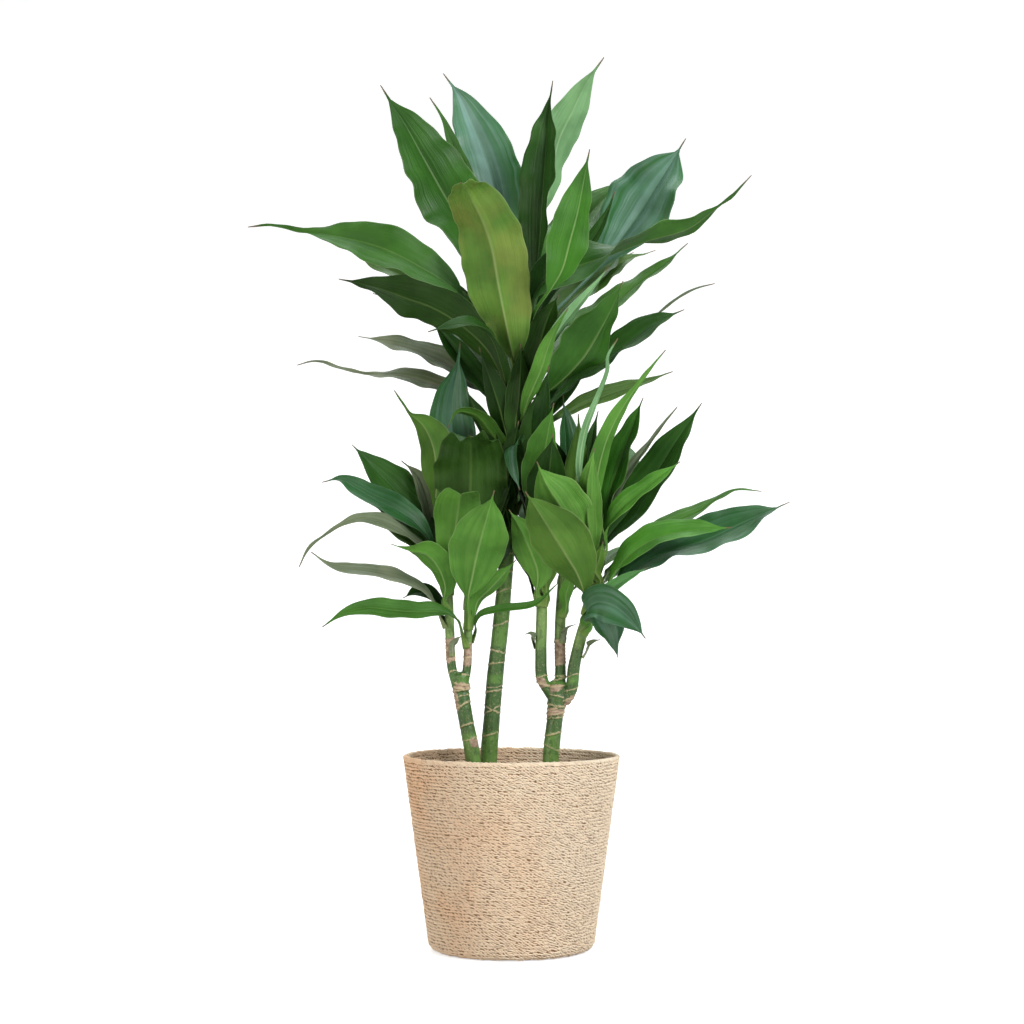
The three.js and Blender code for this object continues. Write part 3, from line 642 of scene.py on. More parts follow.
def sighted(x: float, z: float, depth: float) -> np.ndarray:
    """Return the place of a point that is seen at x, z and lies at a depth behind the axis.

    Args:
        x: Millimetres to the right, as seen against the upright plane through the axis.
        z: Height as seen against that plane.
        depth: Millimetres behind the plane.

    Returns:
        The place in millimetres.
    """
    spread = 1 + depth / EYE_DISTANCE
    return np.array([x * spread, depth, EYE_HEIGHT + (z - EYE_HEIGHT) * spread])


class Path:
    """A centripetal Catmull-Rom curve through points."""

    SAMPLES = 320

    def __init__(self, points: Sequence[np.ndarray]) -> None:
        """Take the points, at least two."""
        first, last = 2 * points[0] - points[1], 2 * points[-1] - points[-2]
        self.points = np.array([first, *points, last])
        self.line = self.at(np.linspace(0, 1, self.SAMPLES))
        steps = np.linalg.norm(np.diff(self.line, axis=0), axis=1)
        self.run = np.concatenate([[0], np.cumsum(steps)])

    def at(self, share: np.ndarray) -> np.ndarray:
        """Return the places at shares of the way, counted by points.

        Args:
            share: Shares between 0 and 1.

        Returns:
            One row of x, y, z for each share.
        """
        spans = len(self.points) - 3
        whole = np.clip(share * spans, 0, spans)
        k = np.minimum(whole.astype(int), spans - 1)
        w = (whole - k)[:, None]
        p0, p1, p2, p3 = (self.points[k + i] for i in range(4))
        d0, d1, d2 = (np.linalg.norm(b - a, axis=1, keepdims=True) ** 0.5
                      for a, b in ((p0, p1), (p1, p2), (p2, p3)))
        t1 = ((p1 - p0) / d0 - (p2 - p0) / (d0 + d1) + (p2 - p1) / d1) * d1
        t2 = ((p2 - p1) / d1 - (p3 - p1) / (d1 + d2) + (p3 - p2) / d2) * d1
        return p1 + w * (t1 + w * (-3 * p1 + 3 * p2 - 2 * t1 - t2 + w * (2 * p1 - 2 * p2 + t1 + t2)))

    def even(self, share: np.ndarray) -> np.ndarray:
        """Return the places at shares of the curve's length."""
        far = share * self.run[-1]
        return np.stack([np.interp(far, self.run, self.line[:, i]) for i in range(3)], axis=1)

    @property
    def length(self) -> float:
        """The curve's length."""
        return float(self.run[-1])


def turned(vectors: np.ndarray, axes: np.ndarray, angles: np.ndarray) -> np.ndarray:
    """Return each vector turned about its own axis by its own angle in radians."""
    cos, sin = np.cos(angles)[:, None], np.sin(angles)[:, None]
    along = np.sum(vectors * axes, axis=1, keepdims=True)
    return vectors * cos + np.cross(axes, vectors) * sin + axes * along * (1 - cos)


# ---------------------------------------------------------------- meshes


def placed(name: str, data: bpy.types.ID) -> bpy.types.Object:
    """Put a new object with a name and some data into the scene and return it."""
    piece = bpy.data.objects.new(name, data)
    bpy.context.scene.collection.objects.link(piece)
    return piece


def mesh_piece(name: str, points: np.ndarray, faces: np.ndarray | list,
               material: bpy.types.Material | None = None) -> bpy.types.Object:
    """Make a smooth mesh object at the origin.

    Args:
        name: The piece's name.
        points: Places in metres, one row each.
        faces: Corners of each face, or of each edge if they are pairs.
        material: Its material, if it has one.

    Returns:
        The new object.
    """
    mesh = bpy.data.meshes.new(name)
    corners = [list(map(int, face)) for face in faces]
    edges, faces = (corners, []) if len(corners[0]) == 2 else ([], corners)
    mesh.from_pydata(np.asarray(points).tolist(), edges, faces)
    mesh.shade_smooth()
    if material:
        mesh.materials.append(material)
    return placed(name, mesh)


def modified(source: bpy.types.Object, name: str) -> bpy.types.Object:
    """Turn what an object's modifiers make into a plain mesh piece.

    Args:
        source: The object, which is removed.
        name: The new piece's name.

    Returns:
        The new piece.
    """
    mesh = bpy.data.meshes.new_from_object(source.evaluated_get(bpy.context.evaluated_depsgraph_get()))
    bpy.data.meshes.remove(source.data)
    mesh.name = name
    return placed(name, mesh)


def merged(parts: Iterable[Shape]) -> Shape:
    """Join several shapes.

    Args:
        parts: The points and the faces of each shape.

    Returns:
        The points and the faces of them all.
    """
    points: list[np.ndarray] = []
    faces: list = []
    for some, more in parts:
        base = sum(map(len, points))
        faces += [[corner + base for corner in face] for face in more]
        points.append(some)
    return np.concatenate(points), faces


def keep(piece: bpy.types.Object, slot: str, *nodes: str) -> None:
    """Make a finished piece ride on the body, and hide the CAD nodes that it replaces.

    Args:
        piece: The piece.
        slot: The record's name for its finish. It is not used.
        *nodes: The CAD nodes that it replaces.
    """
    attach(piece, BODY)
    if nodes:
        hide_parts(*nodes)
    LOG.info("%s: %d faces", piece.name, len(piece.data.polygons))


def ring_faces(rings: int, sides: int) -> list[tuple[int, ...]]:
    """Return the faces of a closed shape of rings of points.

    Args:
        rings: How many rings it has. Its first and its last end point come after them.
        sides: How many points each ring has.

    Returns:
        The corners of each face.
    """
    faces: list[tuple[int, ...]] = []
    top = (rings - 1) * sides
    for j in range(sides):
        k = (j + 1) % sides
        faces += [(low + j, low + k, low + sides + k, low + sides + j) for low in range(0, top, sides)]
        faces += [(top + sides, k, j), (top + sides + 1, top + j, top + k)]
    return faces


def lathe(profile: Sequence[tuple[float, float]], sides: int) -> Shape:
    """Turn a profile about the axis.

    Args:
        profile: Pairs of radius and height in millimetres, from an end on the axis to the other
            end on the axis, counter-clockwise as seen with the radius to the right.
        sides: How many sides the turned shape has.

    Returns:
        The places in metres and the faces.
    """
    ring = [p for p in profile if p[0] > 1e-6]
    angle = np.linspace(0, 2 * np.pi, sides, endpoint=False)
    rows = [np.stack([r * np.cos(angle), r * np.sin(angle), np.full(sides, z)], axis=1) for r, z in ring]
    points = np.concatenate([*rows, [[0, 0, profile[0][1]]], [[0, 0, profile[-1][1]]]]) * MM
    return points, ring_faces(len(ring), sides)


def rounded(profile: Sequence[tuple[float, float, float]], steps: int = 5) -> list[tuple[float, float]]:
    """Round the corners of a profile.

    Args:
        profile: Radius, height and corner radius of each corner.
        steps: Points on each rounded corner.

    Returns:
        Pairs of radius and height.
    """
    out: list[tuple[float, float]] = []
    for i, (r, z, size) in enumerate(profile):
        here = np.array([r, z])
        if size == 0:
            out.append((r, z))
            continue
        back, ahead = (np.array(profile[k][:2]) - here for k in (i - 1, i + 1))
        reach = min(size, np.linalg.norm(back) / 2, np.linalg.norm(ahead) / 2)
        start, end = (here + way / np.linalg.norm(way) * reach for way in (back, ahead))
        out += [tuple((1 - t) ** 2 * start + 2 * t * (1 - t) * here + t * t * end)
                for t in np.linspace(0, 1, steps)]
    return out


def grown(name: str, source: bpy.types.Object, tree: bpy.types.NodeTree,
          **values: object) -> bpy.types.Object:
    """Run a Geometry Nodes tree on an object and keep the result as a plain mesh piece.

    Args:
        name: The new piece's name.
        source: The object that the tree works on, which is removed.
        tree: The tree.
        **values: The tree's inputs, by name with _ for a space.

    Returns:
        The new piece.
    """
    modifier = source.modifiers.new("grow", "NODES")
    modifier.node_group = tree
    for item in tree.interface.items_tree:
        if item.in_out == "INPUT" and item.name.replace(" ", "_") in values:
            modifier[item.identifier] = values[item.name.replace(" ", "_")]
    return modified(source, name)


# ---------------------------------------------------------------- basket


def rope_nodes() -> bpy.types.NodeTree:
    """Build the tree that winds a twisted rope up a profile, as a sewn basket is made.

    The input mesh is the profile of the wall's middle, from the centre of the bottom to the rim.
    The rope's turns lie a pitch apart along it. Each ply is a strand that twists about the rope.

    Returns:
        The Geometry Nodes group.
    """
    n, given = new_group("sewn_rope", {
        "Geometry": None, "First Turn": 0.0, "Turns": 10.0, "Points Per Turn": 200, "Pitch": 0.005,
        "Plies": 3, "Ply Radius": 0.0014, "Swing": 0.0015, "Lay": 0.02, "Sides": 6, "Unevenness": 0.0008,
        "Seed": 3.0, "Material": None})
    count = n.math("FLOOR", n.plus(n.times(given["Turns"], given["Points Per Turn"]), 1.5))
    points = n.add("GeometryNodeResampleCurve", Curve=n.add("GeometryNodeCurvePrimitiveLine").outputs[0],
                   Count=count)
    strands = n.add("GeometryNodeDuplicateElements", {"domain": "SPLINE"},
                    Geometry=points.outputs[0], Amount=given["Plies"])
    index = n.math("FLOORED_MODULO", n.add("GeometryNodeInputIndex").outputs[0], count)
    turn = n.plus(given["First Turn"], n.math("DIVIDE", index, given["Points Per Turn"]))
    ply = n.math("DIVIDE", strands.outputs["Duplicate Index"], given["Plies"])

    profile = n.add("GeometryNodeMeshToCurve", Mesh=given["Geometry"]).outputs[0]
    whole = n.add("GeometryNodeCurveLength", Curve=profile).outputs[0]
    sample = n.add("GeometryNodeSampleCurve", {"mode": "LENGTH"}, Curves=profile,
                   Length=n.math("MINIMUM", n.times(turn, given["Pitch"]), whole))
    normal = n.vector("CROSS_PRODUCT", (0.0, 1.0, 0.0), sample.outputs["Tangent"])
    angle = n.times(turn, math.tau)
    place, outward, upward = (
        n.add("ShaderNodeVectorRotate", {"rotation_type": "Z_AXIS"}, Vector=vector, Angle=angle).outputs[0]
        for vector in (sample.outputs["Position"], normal, sample.outputs["Tangent"]))

    uneven, lumps = (
        n.add("ShaderNodeTexNoise", {"noise_dimensions": "4D"}, Vector=place, W=w, Scale=scale,
              Detail=detail).outputs
        for scale, detail, w in ((70.0, 2.0, n.plus(given["Seed"], n.times(turn, 0.8))),
                                 (190.0, 1.0, n.times(ply, 31.0))))
    shake = n.vector("SUBTRACT", uneven["Color"], (0.5, 0.5, 0.5))
    shake = n.vector("SCALE", shake, n.times(given["Unevenness"], 4.0))
    rope = n.add("GeometryNodeSetPosition", Geometry=strands.outputs[0],
                 Position=n.vector("ADD", place, shake))

    length = n.add("GeometryNodeSplineParameter").outputs["Length"]
    loose = n.times(n.minus(uneven["Fac"], 0.5), 1.6)
    twist = n.times(n.plus(n.minus(ply, n.math("DIVIDE", length, given["Lay"])), loose), math.tau)
    off = n.vector("ADD", n.vector("SCALE", outward, n.math("COSINE", twist)),
                   n.vector("SCALE", upward, n.math("SINE", twist)))
    plies = n.add("GeometryNodeSetPosition", Geometry=rope.outputs[0],
                  Offset=n.vector("SCALE", off, given["Swing"]))
    marked = n.stored(plies.outputs[0], "along", n.plus(length, n.times(ply, 9.1)))
    size = n.spread(lumps["Fac"], 0.3, 0.7, 0.66, 1.25)
    sized = n.add("GeometryNodeSetCurveRadius", Curve=marked, Radius=size)
    circle = n.add("GeometryNodeCurvePrimitiveCircle", Resolution=given["Sides"],
                   Radius=given["Ply Radius"])
    ring = n.stored(circle.outputs[0], "around", n.add("GeometryNodeSplineParameter").outputs["Factor"])
    body = n.add("GeometryNodeCurveToMesh", Curve=sized.outputs[0], Profile_Curve=ring, Fill_Caps=True)
    around, along = (
        n.add("GeometryNodeInputNamedAttribute", {"data_type": "FLOAT"}, Name=label).outputs[0]
        for label in ("around", "along"))
    around = n.times(around, math.tau)
    fibre = n.joined(n.math("COSINE", around), n.math("SINE", around), along)
    mapped = n.stored(body.outputs[0], "fibre", fibre, "FLOAT_VECTOR")
    soft = n.add("GeometryNodeSetShadeSmooth", Geometry=mapped)
    return n.giving(Geometry=n.painted(soft.outputs[0], given["Material"]))


@dataclass
class Basket:
    """A conical cover basket of one twisted rope, wound and sewn turn on turn.

    Sizes are in millimetres. The radii are those of the outside.
    """

    height: float = 214.0
    rim_radius: float = 120.0
    base_radius: float = 91.0
    corner: float = 12.0
    half_wall: float = 2.7
    pitch: float = 3.7
    lay: float = 12.5
    ply_radius: float = 1.0
    ply_sides: int = 5
    swing: float = 1.5
    unevenness: float = 0.7
    points_on_turn: int = 300
    points_on_bottom_turn: int = 150
    seam: float = 0.25
    first_turn: float = 0.4
    last_turn: float = 0.97
    half_core: float = 0.5
    core_sides: int = 96

    def profile(self, inset: float, top: float = 0.0) -> np.ndarray:
        """Return the wall's line at a distance inside its outer face.

        Args:
            inset: Millimetres from the outer face.
            top: How far the line stops below the rim's own inset.

        Returns:
            Rows of radius and height, from the centre of the bottom to the rim.
        """
        widening = self.rim_radius - self.base_radius
        turn = np.linspace(-math.pi / 2, -math.atan2(widening, self.height), 9)
        bend_radius = self.corner - inset
        middle = self.base_radius + widening * self.corner / self.height - self.corner
        bend = np.stack([middle + bend_radius * np.cos(turn), self.corner + bend_radius * np.sin(turn)], 1)
        rim = np.array([[self.rim_radius - inset, self.height - inset - top]])
        return np.concatenate([[[0.0, inset]], bend, rim])

    def build(self) -> None:
        """Build the rope in four pieces, and the dark core sheet between its strands, whose brown is painted
        shade.
        """
        tree, rope = rope_nodes(), RopeFinish(self.height * MM).material("seagrass_rope")
        line = self.profile(self.half_wall)
        turns = np.linalg.norm(np.diff(line, axis=0), axis=1).sum() / self.pitch
        bottom = round(line[1, 0] / self.pitch) + self.seam
        share = round((turns - bottom) / 3)
        starts = [self.first_turn, *(bottom + i * share for i in range(3)), turns + self.last_turn]
        for part, first, end in zip(("bottom", "lower_courses", "middle_courses", "upper_courses"),
                                    starts, starts[1:]):
            source = mesh_piece("basket_line", [(r * MM, 0.0, z * MM) for r, z in line],
                                [(i, i + 1) for i in range(len(line) - 1)])
            points = self.points_on_bottom_turn if part == "bottom" else self.points_on_turn
            turns = share if part in ("lower_courses", "middle_courses") else end - first
            keep(grown(f"basket_{part}", source, tree, First_Turn=first, Turns=turns, Points_Per_Turn=points,
                       Pitch=self.pitch * MM, Ply_Radius=self.ply_radius * MM, Swing=self.swing * MM,
                       Lay=self.lay * MM, Sides=self.ply_sides, Unevenness=self.unevenness * MM,
                       Material=rope), "rope", "basket")
        outer = self.profile(self.half_wall - self.half_core, 1.0)
        inner = self.profile(self.half_wall + self.half_core)[::-1]
        core = lathe([tuple(p) for p in (*outer, *inner)], self.core_sides)
        keep(mesh_piece("basket_core", *core, CoreFinish().material("rope_core")), "rope", "basket")


# ---------------------------------------------------------------- pot and soil


@dataclass
class NurseryPot:
    """The thin black pot that stands in the basket, with its soil. Sizes are in millimetres.

    The soil rises by crown towards the middle. Its waves lie lower by sunk and end in flat_edge.
    """

    floor: float = 6.3
    height: float = 178.0
    top_radius: float = 100.0
    base_radius: float = 76.0
    lip: float = 4.0
    lip_height: float = 9.0
    lip_wall: float = 1.4
    wall: float = 1.6
    soil_level: float = 172.0
    crown: float = 3.0
    flat_edge: float = 6.0
    sunk: float = 0.6
    clearance: float = 0.5
    drains: int = 6
    drain_radius: float = 5.0
    drain_ring: float = 54.0
    drain_sides: int = 24
    sides: int = 128
    soil_sides: int = 120
    soil_rings: int = 34
    innermost: float = 1.5
    crumbs: float = 95_000.0
    crumb: float = 2.1
    seed: int = 5

    def build(self) -> None:
        """Build the pot with its rolled lip and the drain holes in its floor, and the soil."""
        top = self.floor + self.height
        foot = top - self.lip_height
        side = self.base_radius + (self.top_radius - self.base_radius) * (foot / top)
        outside, bed = self.top_radius + self.lip, self.floor + self.wall
        points, faces = lathe(rounded([
            (0, self.floor, 0), (self.base_radius, self.floor, 4), (side, foot, 0.6),
            (outside - self.lip_wall, foot, 1.2), (outside, top, 1.6),
            (self.top_radius - self.wall, top, 1.6), (self.base_radius - self.wall, bed, 3),
            (0, bed, 0)]), self.sides)
        pot = mesh_piece("pot_body", points, faces, PlasticFinish().material("pot_plastic"))
        keep(self.drilled(pot, "nursery_pot_shell"), "pot_plastic", "nursery_pot")
        self.soil(bed + self.clearance, self.base_radius - self.wall - self.clearance)

    def drilled(self, pot: bpy.types.Object, name: str) -> bpy.types.Object:
        """Cut the drain holes through the floor of the pot.

        Args:
            pot: The pot without its holes, which is removed.
            name: The name of the new piece.

        Returns:
            The new piece.
        """
        low, high = self.floor - 1, self.floor + self.wall + 1
        plug, sides = lathe([(0, low), (self.drain_radius, low), (self.drain_radius, high), (0, high)],
                            self.drain_sides)
        ring = [np.array([math.cos(angle), math.sin(angle), 0]) * self.drain_ring * MM
                for angle in np.linspace(0, math.tau, self.drains, endpoint=False)]
        cut = pot.modifiers.new("drains", "BOOLEAN")
        cut.solver = "EXACT"
        cut.object = mesh_piece("drain_plugs", *merged((plug + place, sides) for place in ring))
        piece = modified(pot, name)
        bpy.data.meshes.remove(bpy.data.meshes["drain_plugs"])
        return piece

    def soil(self, bottom: float, low: float) -> None:
        """Build the soil with its uneven top, and scatter crumbs on it.

        Args:
            bottom: The height of its underside.
            low: The radius of its underside.
        """
        material = SoilFinish().material("potting_soil_mix")
        slope = (self.top_radius - self.base_radius) / self.height
        rim = low + slope * (self.soil_level - self.floor)
        rings = np.linspace(rim, self.innermost, self.soil_rings)
        points, faces = lathe([(0, bottom), (low, bottom), *[(r, self.soil_level) for r in rings],
                               (0, self.soil_level)], self.soil_sides)
        top = points[:, 2] > (self.soil_level - 0.5) * MM
        x, y = points[top, 0] / MM, points[top, 1] / MM
        radius = np.hypot(x, y)
        crown = self.crown * (1 - np.clip(radius / rim, 0, 1))
        waves = 0.9 * np.sin(x / 9.0 + 1.3) * np.sin(y / 8.0) + 0.6 * np.sin(x / 4.1 + y / 5.3)
        edge = np.clip((rim - radius) / self.flat_edge, 0, 1)
        points[top, 2] += (crown + (waves - self.sunk) * edge) * MM
        keep(mesh_piece("potting_soil_bed", points, faces, material), "soil", "potting_soil")
        surface = mesh_piece("soil_surface", points, [f for f in faces if all(top[list(f)])])
        keep(grown("potting_soil_crumbs", surface, crumb_nodes(), Density=self.crumbs, Size=self.crumb * MM,
                   Seed=self.seed, Material=material), "soil")


def crumb_nodes() -> bpy.types.NodeTree:
    """Build the tree that scatters crumbs of soil and bark over a surface.

    Returns:
        The Geometry Nodes group.
    """
    n, given = new_group("soil_crumbs", {"Geometry": None, "Density": 80_000.0, "Size": 0.002, "Seed": 1,
                                         "Material": None})
    spots = n.add("GeometryNodeDistributePointsOnFaces", Mesh=given["Geometry"], Density=given["Density"],
                  Seed=given["Seed"])
    lump = n.add("GeometryNodeMeshIcoSphere", Radius=given["Size"], Subdivisions=1)
    whole_turn, smallest, largest = (math.tau,) * 3, (0.35, 0.25, 0.2), (1.25, 0.8, 0.6)
    turn, scale = (
        n.filled(n.add("FunctionNodeRandomValue", {"data_type": "FLOAT_VECTOR"}, Seed=given["Seed"]),
                 (0, 1), low, high).outputs[0]
        for low, high in ((None, whole_turn), (smallest, largest)))
    bits = n.add("GeometryNodeInstanceOnPoints", Points=spots.outputs[0], Instance=lump.outputs[0],
                 Rotation=turn, Scale=scale)
    return n.giving(Geometry=n.painted(bits.outputs[0], given["Material"]))


# ---------------------------------------------------------------- canes


class Stem:
    """A cane or shoot through its points, each x, z, depth and radius, from foot to top."""

    SAMPLES = 161

    def __init__(self, *points: tuple[float, float, float, float]) -> None:
        """Take the points."""
        path = Path([sighted(x, z, depth) for x, z, depth, _ in points])
        self.line = path.at(np.linspace(0, 1, self.SAMPLES))
        self.radii = np.interp(np.linspace(0, len(points) - 1, self.SAMPLES), range(len(points)),
                               [p[3] for p in points])

    def axis(self, z: np.ndarray) -> np.ndarray:
        """Return the places on the axis at heights."""
        return np.stack([np.interp(z, self.line[:, 2], self.line[:, i]) for i in (0, 1)] + [z], axis=1)

    def radius(self, z: np.ndarray) -> np.ndarray:
        """Return the radii at heights."""
        return np.interp(z, self.line[:, 2], self.radii)

    def direction(self, z: float) -> np.ndarray:
        """Return the direction of growth at a height."""
        k = int(np.clip(np.searchsorted(self.line[:, 2], z), 1, self.SAMPLES - 1))
        step = self.line[k] - self.line[k - 1]
        return step / np.linalg.norm(step)

    @property
    def span(self) -> tuple[float, float]:
        """The heights of the foot and the top."""
        return float(self.line[0, 2]), float(self.line[-1, 2])


class Shoot(Enum):
    """The stems that bear leaves, and the canes that they stand on."""

    TOP = Stem((-30, 105, 16, 9.5), (-25, 212, 16, 9.5), (-22, 250, 16, 9.3), (-18, 300, 16, 9.2),
               (-12.5, 350, 15, 9), (-8, 400, 13, 8.6), (-3, 460, 10, 8), (2, 530, 6, 7.5), (6, 600, 2, 6.5),
               (10, 660, 0, 5), (12, 705, 0, 3))
    LEFT_FOOT = Stem((-36, 105, -8, 8.5), (-43, 212, -8, 8.5), (-50, 250, -8, 8.4), (-55, 280, -8, 8.6),
                     (-57, 299, -8, 9.6))
    LEFT_A = Stem((-60, 286, -9, 5), (-66, 310, -10, 5.2), (-68, 345, -10, 5.2), (-70, 400, -9, 4.8),
                  (-73, 450, -8, 3.8), (-75, 490, -8, 2.5))
    LEFT_B = Stem((-53, 286, -7, 4.6), (-49, 310, -6, 4.8), (-48, 350, -6, 4.8), (-48, 400, -6, 4.6),
                  (-50, 450, -5, 3.8), (-52, 490, -4, 2.5))
    RIGHT_FOOT = Stem((40, 105, -4, 9), (43.5, 212, -4, 9), (47.5, 250, -4, 9), (50, 272, -4, 10.5),
                      (51, 290, -4, 10.5))
    RIGHT_A = Stem((44, 276, -5, 5.5), (34, 296, -8, 6.5), (32.5, 325, -9, 6.5), (33.5, 375, -9, 6),
                   (32, 430, -6, 5), (31, 490, -3, 3))
    RIGHT_B = Stem((53, 276, -2, 6), (54, 300, 0, 6), (53.5, 345, 2, 6), (56, 400, 6, 5.4), (61, 450, 9, 4),
                   (64, 500, 11, 2.6))
    RIGHT_C = Stem((58, 268, -6, 6), (66, 284, -10, 6.6), (69, 310, -13, 6.8), (76, 340, -16, 6.6),
                   (86, 375, -18, 6), (94, 420, -18, 4.8), (97, 465, -17, 3))


TOP, LEFT_FOOT, LEFT_A, LEFT_B, RIGHT_FOOT, RIGHT_A, RIGHT_B, RIGHT_C = Shoot
SIDE_SHOOTS = (LEFT_A, LEFT_B, RIGHT_A, RIGHT_B, RIGHT_C)


@dataclass(frozen=True)
class Scar:
    """A ring on a stem where a leaf stood.

    height is where it is on the stem's left as seen from the front, slant how far it rises towards
    the right, width how broad it is, and bulge how far it stands out, all in millimetres.
    """

    height: float
    slant: float = 0.0
    width: float = 0.95
    bulge: float = 0.4


@dataclass(frozen=True)
class Patch:
    """A papery brown patch on a stem, from one height to another, on one bearing in degrees.

    A bearing of 0 is on the right and -90 towards the viewer. spread is half of what it covers.
    """

    low: float
    high: float
    bearing: float = -90.0
    spread: float = 70.0


SCARS = {
    TOP: (Scar(233, 4, 1.2), Scar(267, -9, 1.3), Scar(258, 9, 1.1), Scar(281, 4, 1.3),
        Scar(286, 3, 0.8, 0.3), Scar(312, 4, 1.1), Scar(330, -6, 1.1), Scar(355, 5, 1.3), Scar(374, 4),
        Scar(392, 5), Scar(412, 4), Scar(432, 5), Scar(455, 4), Scar(478, 5), Scar(500, 4), Scar(520, 4),
        Scar(536, 3)),
    LEFT_FOOT: (Scar(229, 4), Scar(244, 6, 1.2), Scar(265, 8, 1.4), Scar(276, 5, 0.9),
        Scar(283, 4, 1.3, 1.2), Scar(288, -2, 1.3, 1.5), Scar(294, -4, 1.5, 1.6)),
    LEFT_A: (Scar(304, 3), Scar(318, 2), Scar(331, 3, 1.4)),
    LEFT_B: (Scar(303, -3), Scar(320, 2), Scar(334, 2)),
    RIGHT_FOOT: (Scar(225, -7, 1.1), Scar(235, 3, 1.3), Scar(253, 3, 1.0), Scar(258, 2, 1.2, 0.9),
        Scar(263, 4, 0.9, 0.7), Scar(270, -5, 1.2, 1.0), Scar(280, -4, 1.1, 0.9), Scar(288, 3, 1.4, 1.4)),
    RIGHT_A: (Scar(293, -4, 1.5, 1.1), Scar(299, 2, 0.9, 0.6)),
    RIGHT_B: (Scar(296, 2, 1.2, 0.8), Scar(301, -2, 1.1, 0.8), Scar(312, 2), Scar(338, 2, 1.2, 0.8)),
    RIGHT_C: (Scar(272, 4, 1.3, 0.8), Scar(283, 5, 1.0, 0.6), Scar(300, 3, 0.8, 0.3)),
}
PATCHES = {
    TOP: (Patch(540, 606, -90, 180), Patch(100, 190, -90, 180)),
    LEFT_FOOT: (Patch(222, 232, -50, 40), Patch(262, 290, -160, 36), Patch(285, 292, -70, 60),
        Patch(100, 190, -90, 180)),
    LEFT_A: (Patch(316, 342, -100, 90),),
    LEFT_B: (Patch(312, 336, -80, 60),),
    RIGHT_FOOT: (Patch(257, 264, -90, 100), Patch(284, 292, -130, 70), Patch(100, 190, -90, 180)),
    RIGHT_A: (Patch(288, 298, -130, 70),),
    RIGHT_B: (Patch(313, 340, -90, 110),),
    RIGHT_C: (Patch(268, 278, -40, 60),),
}


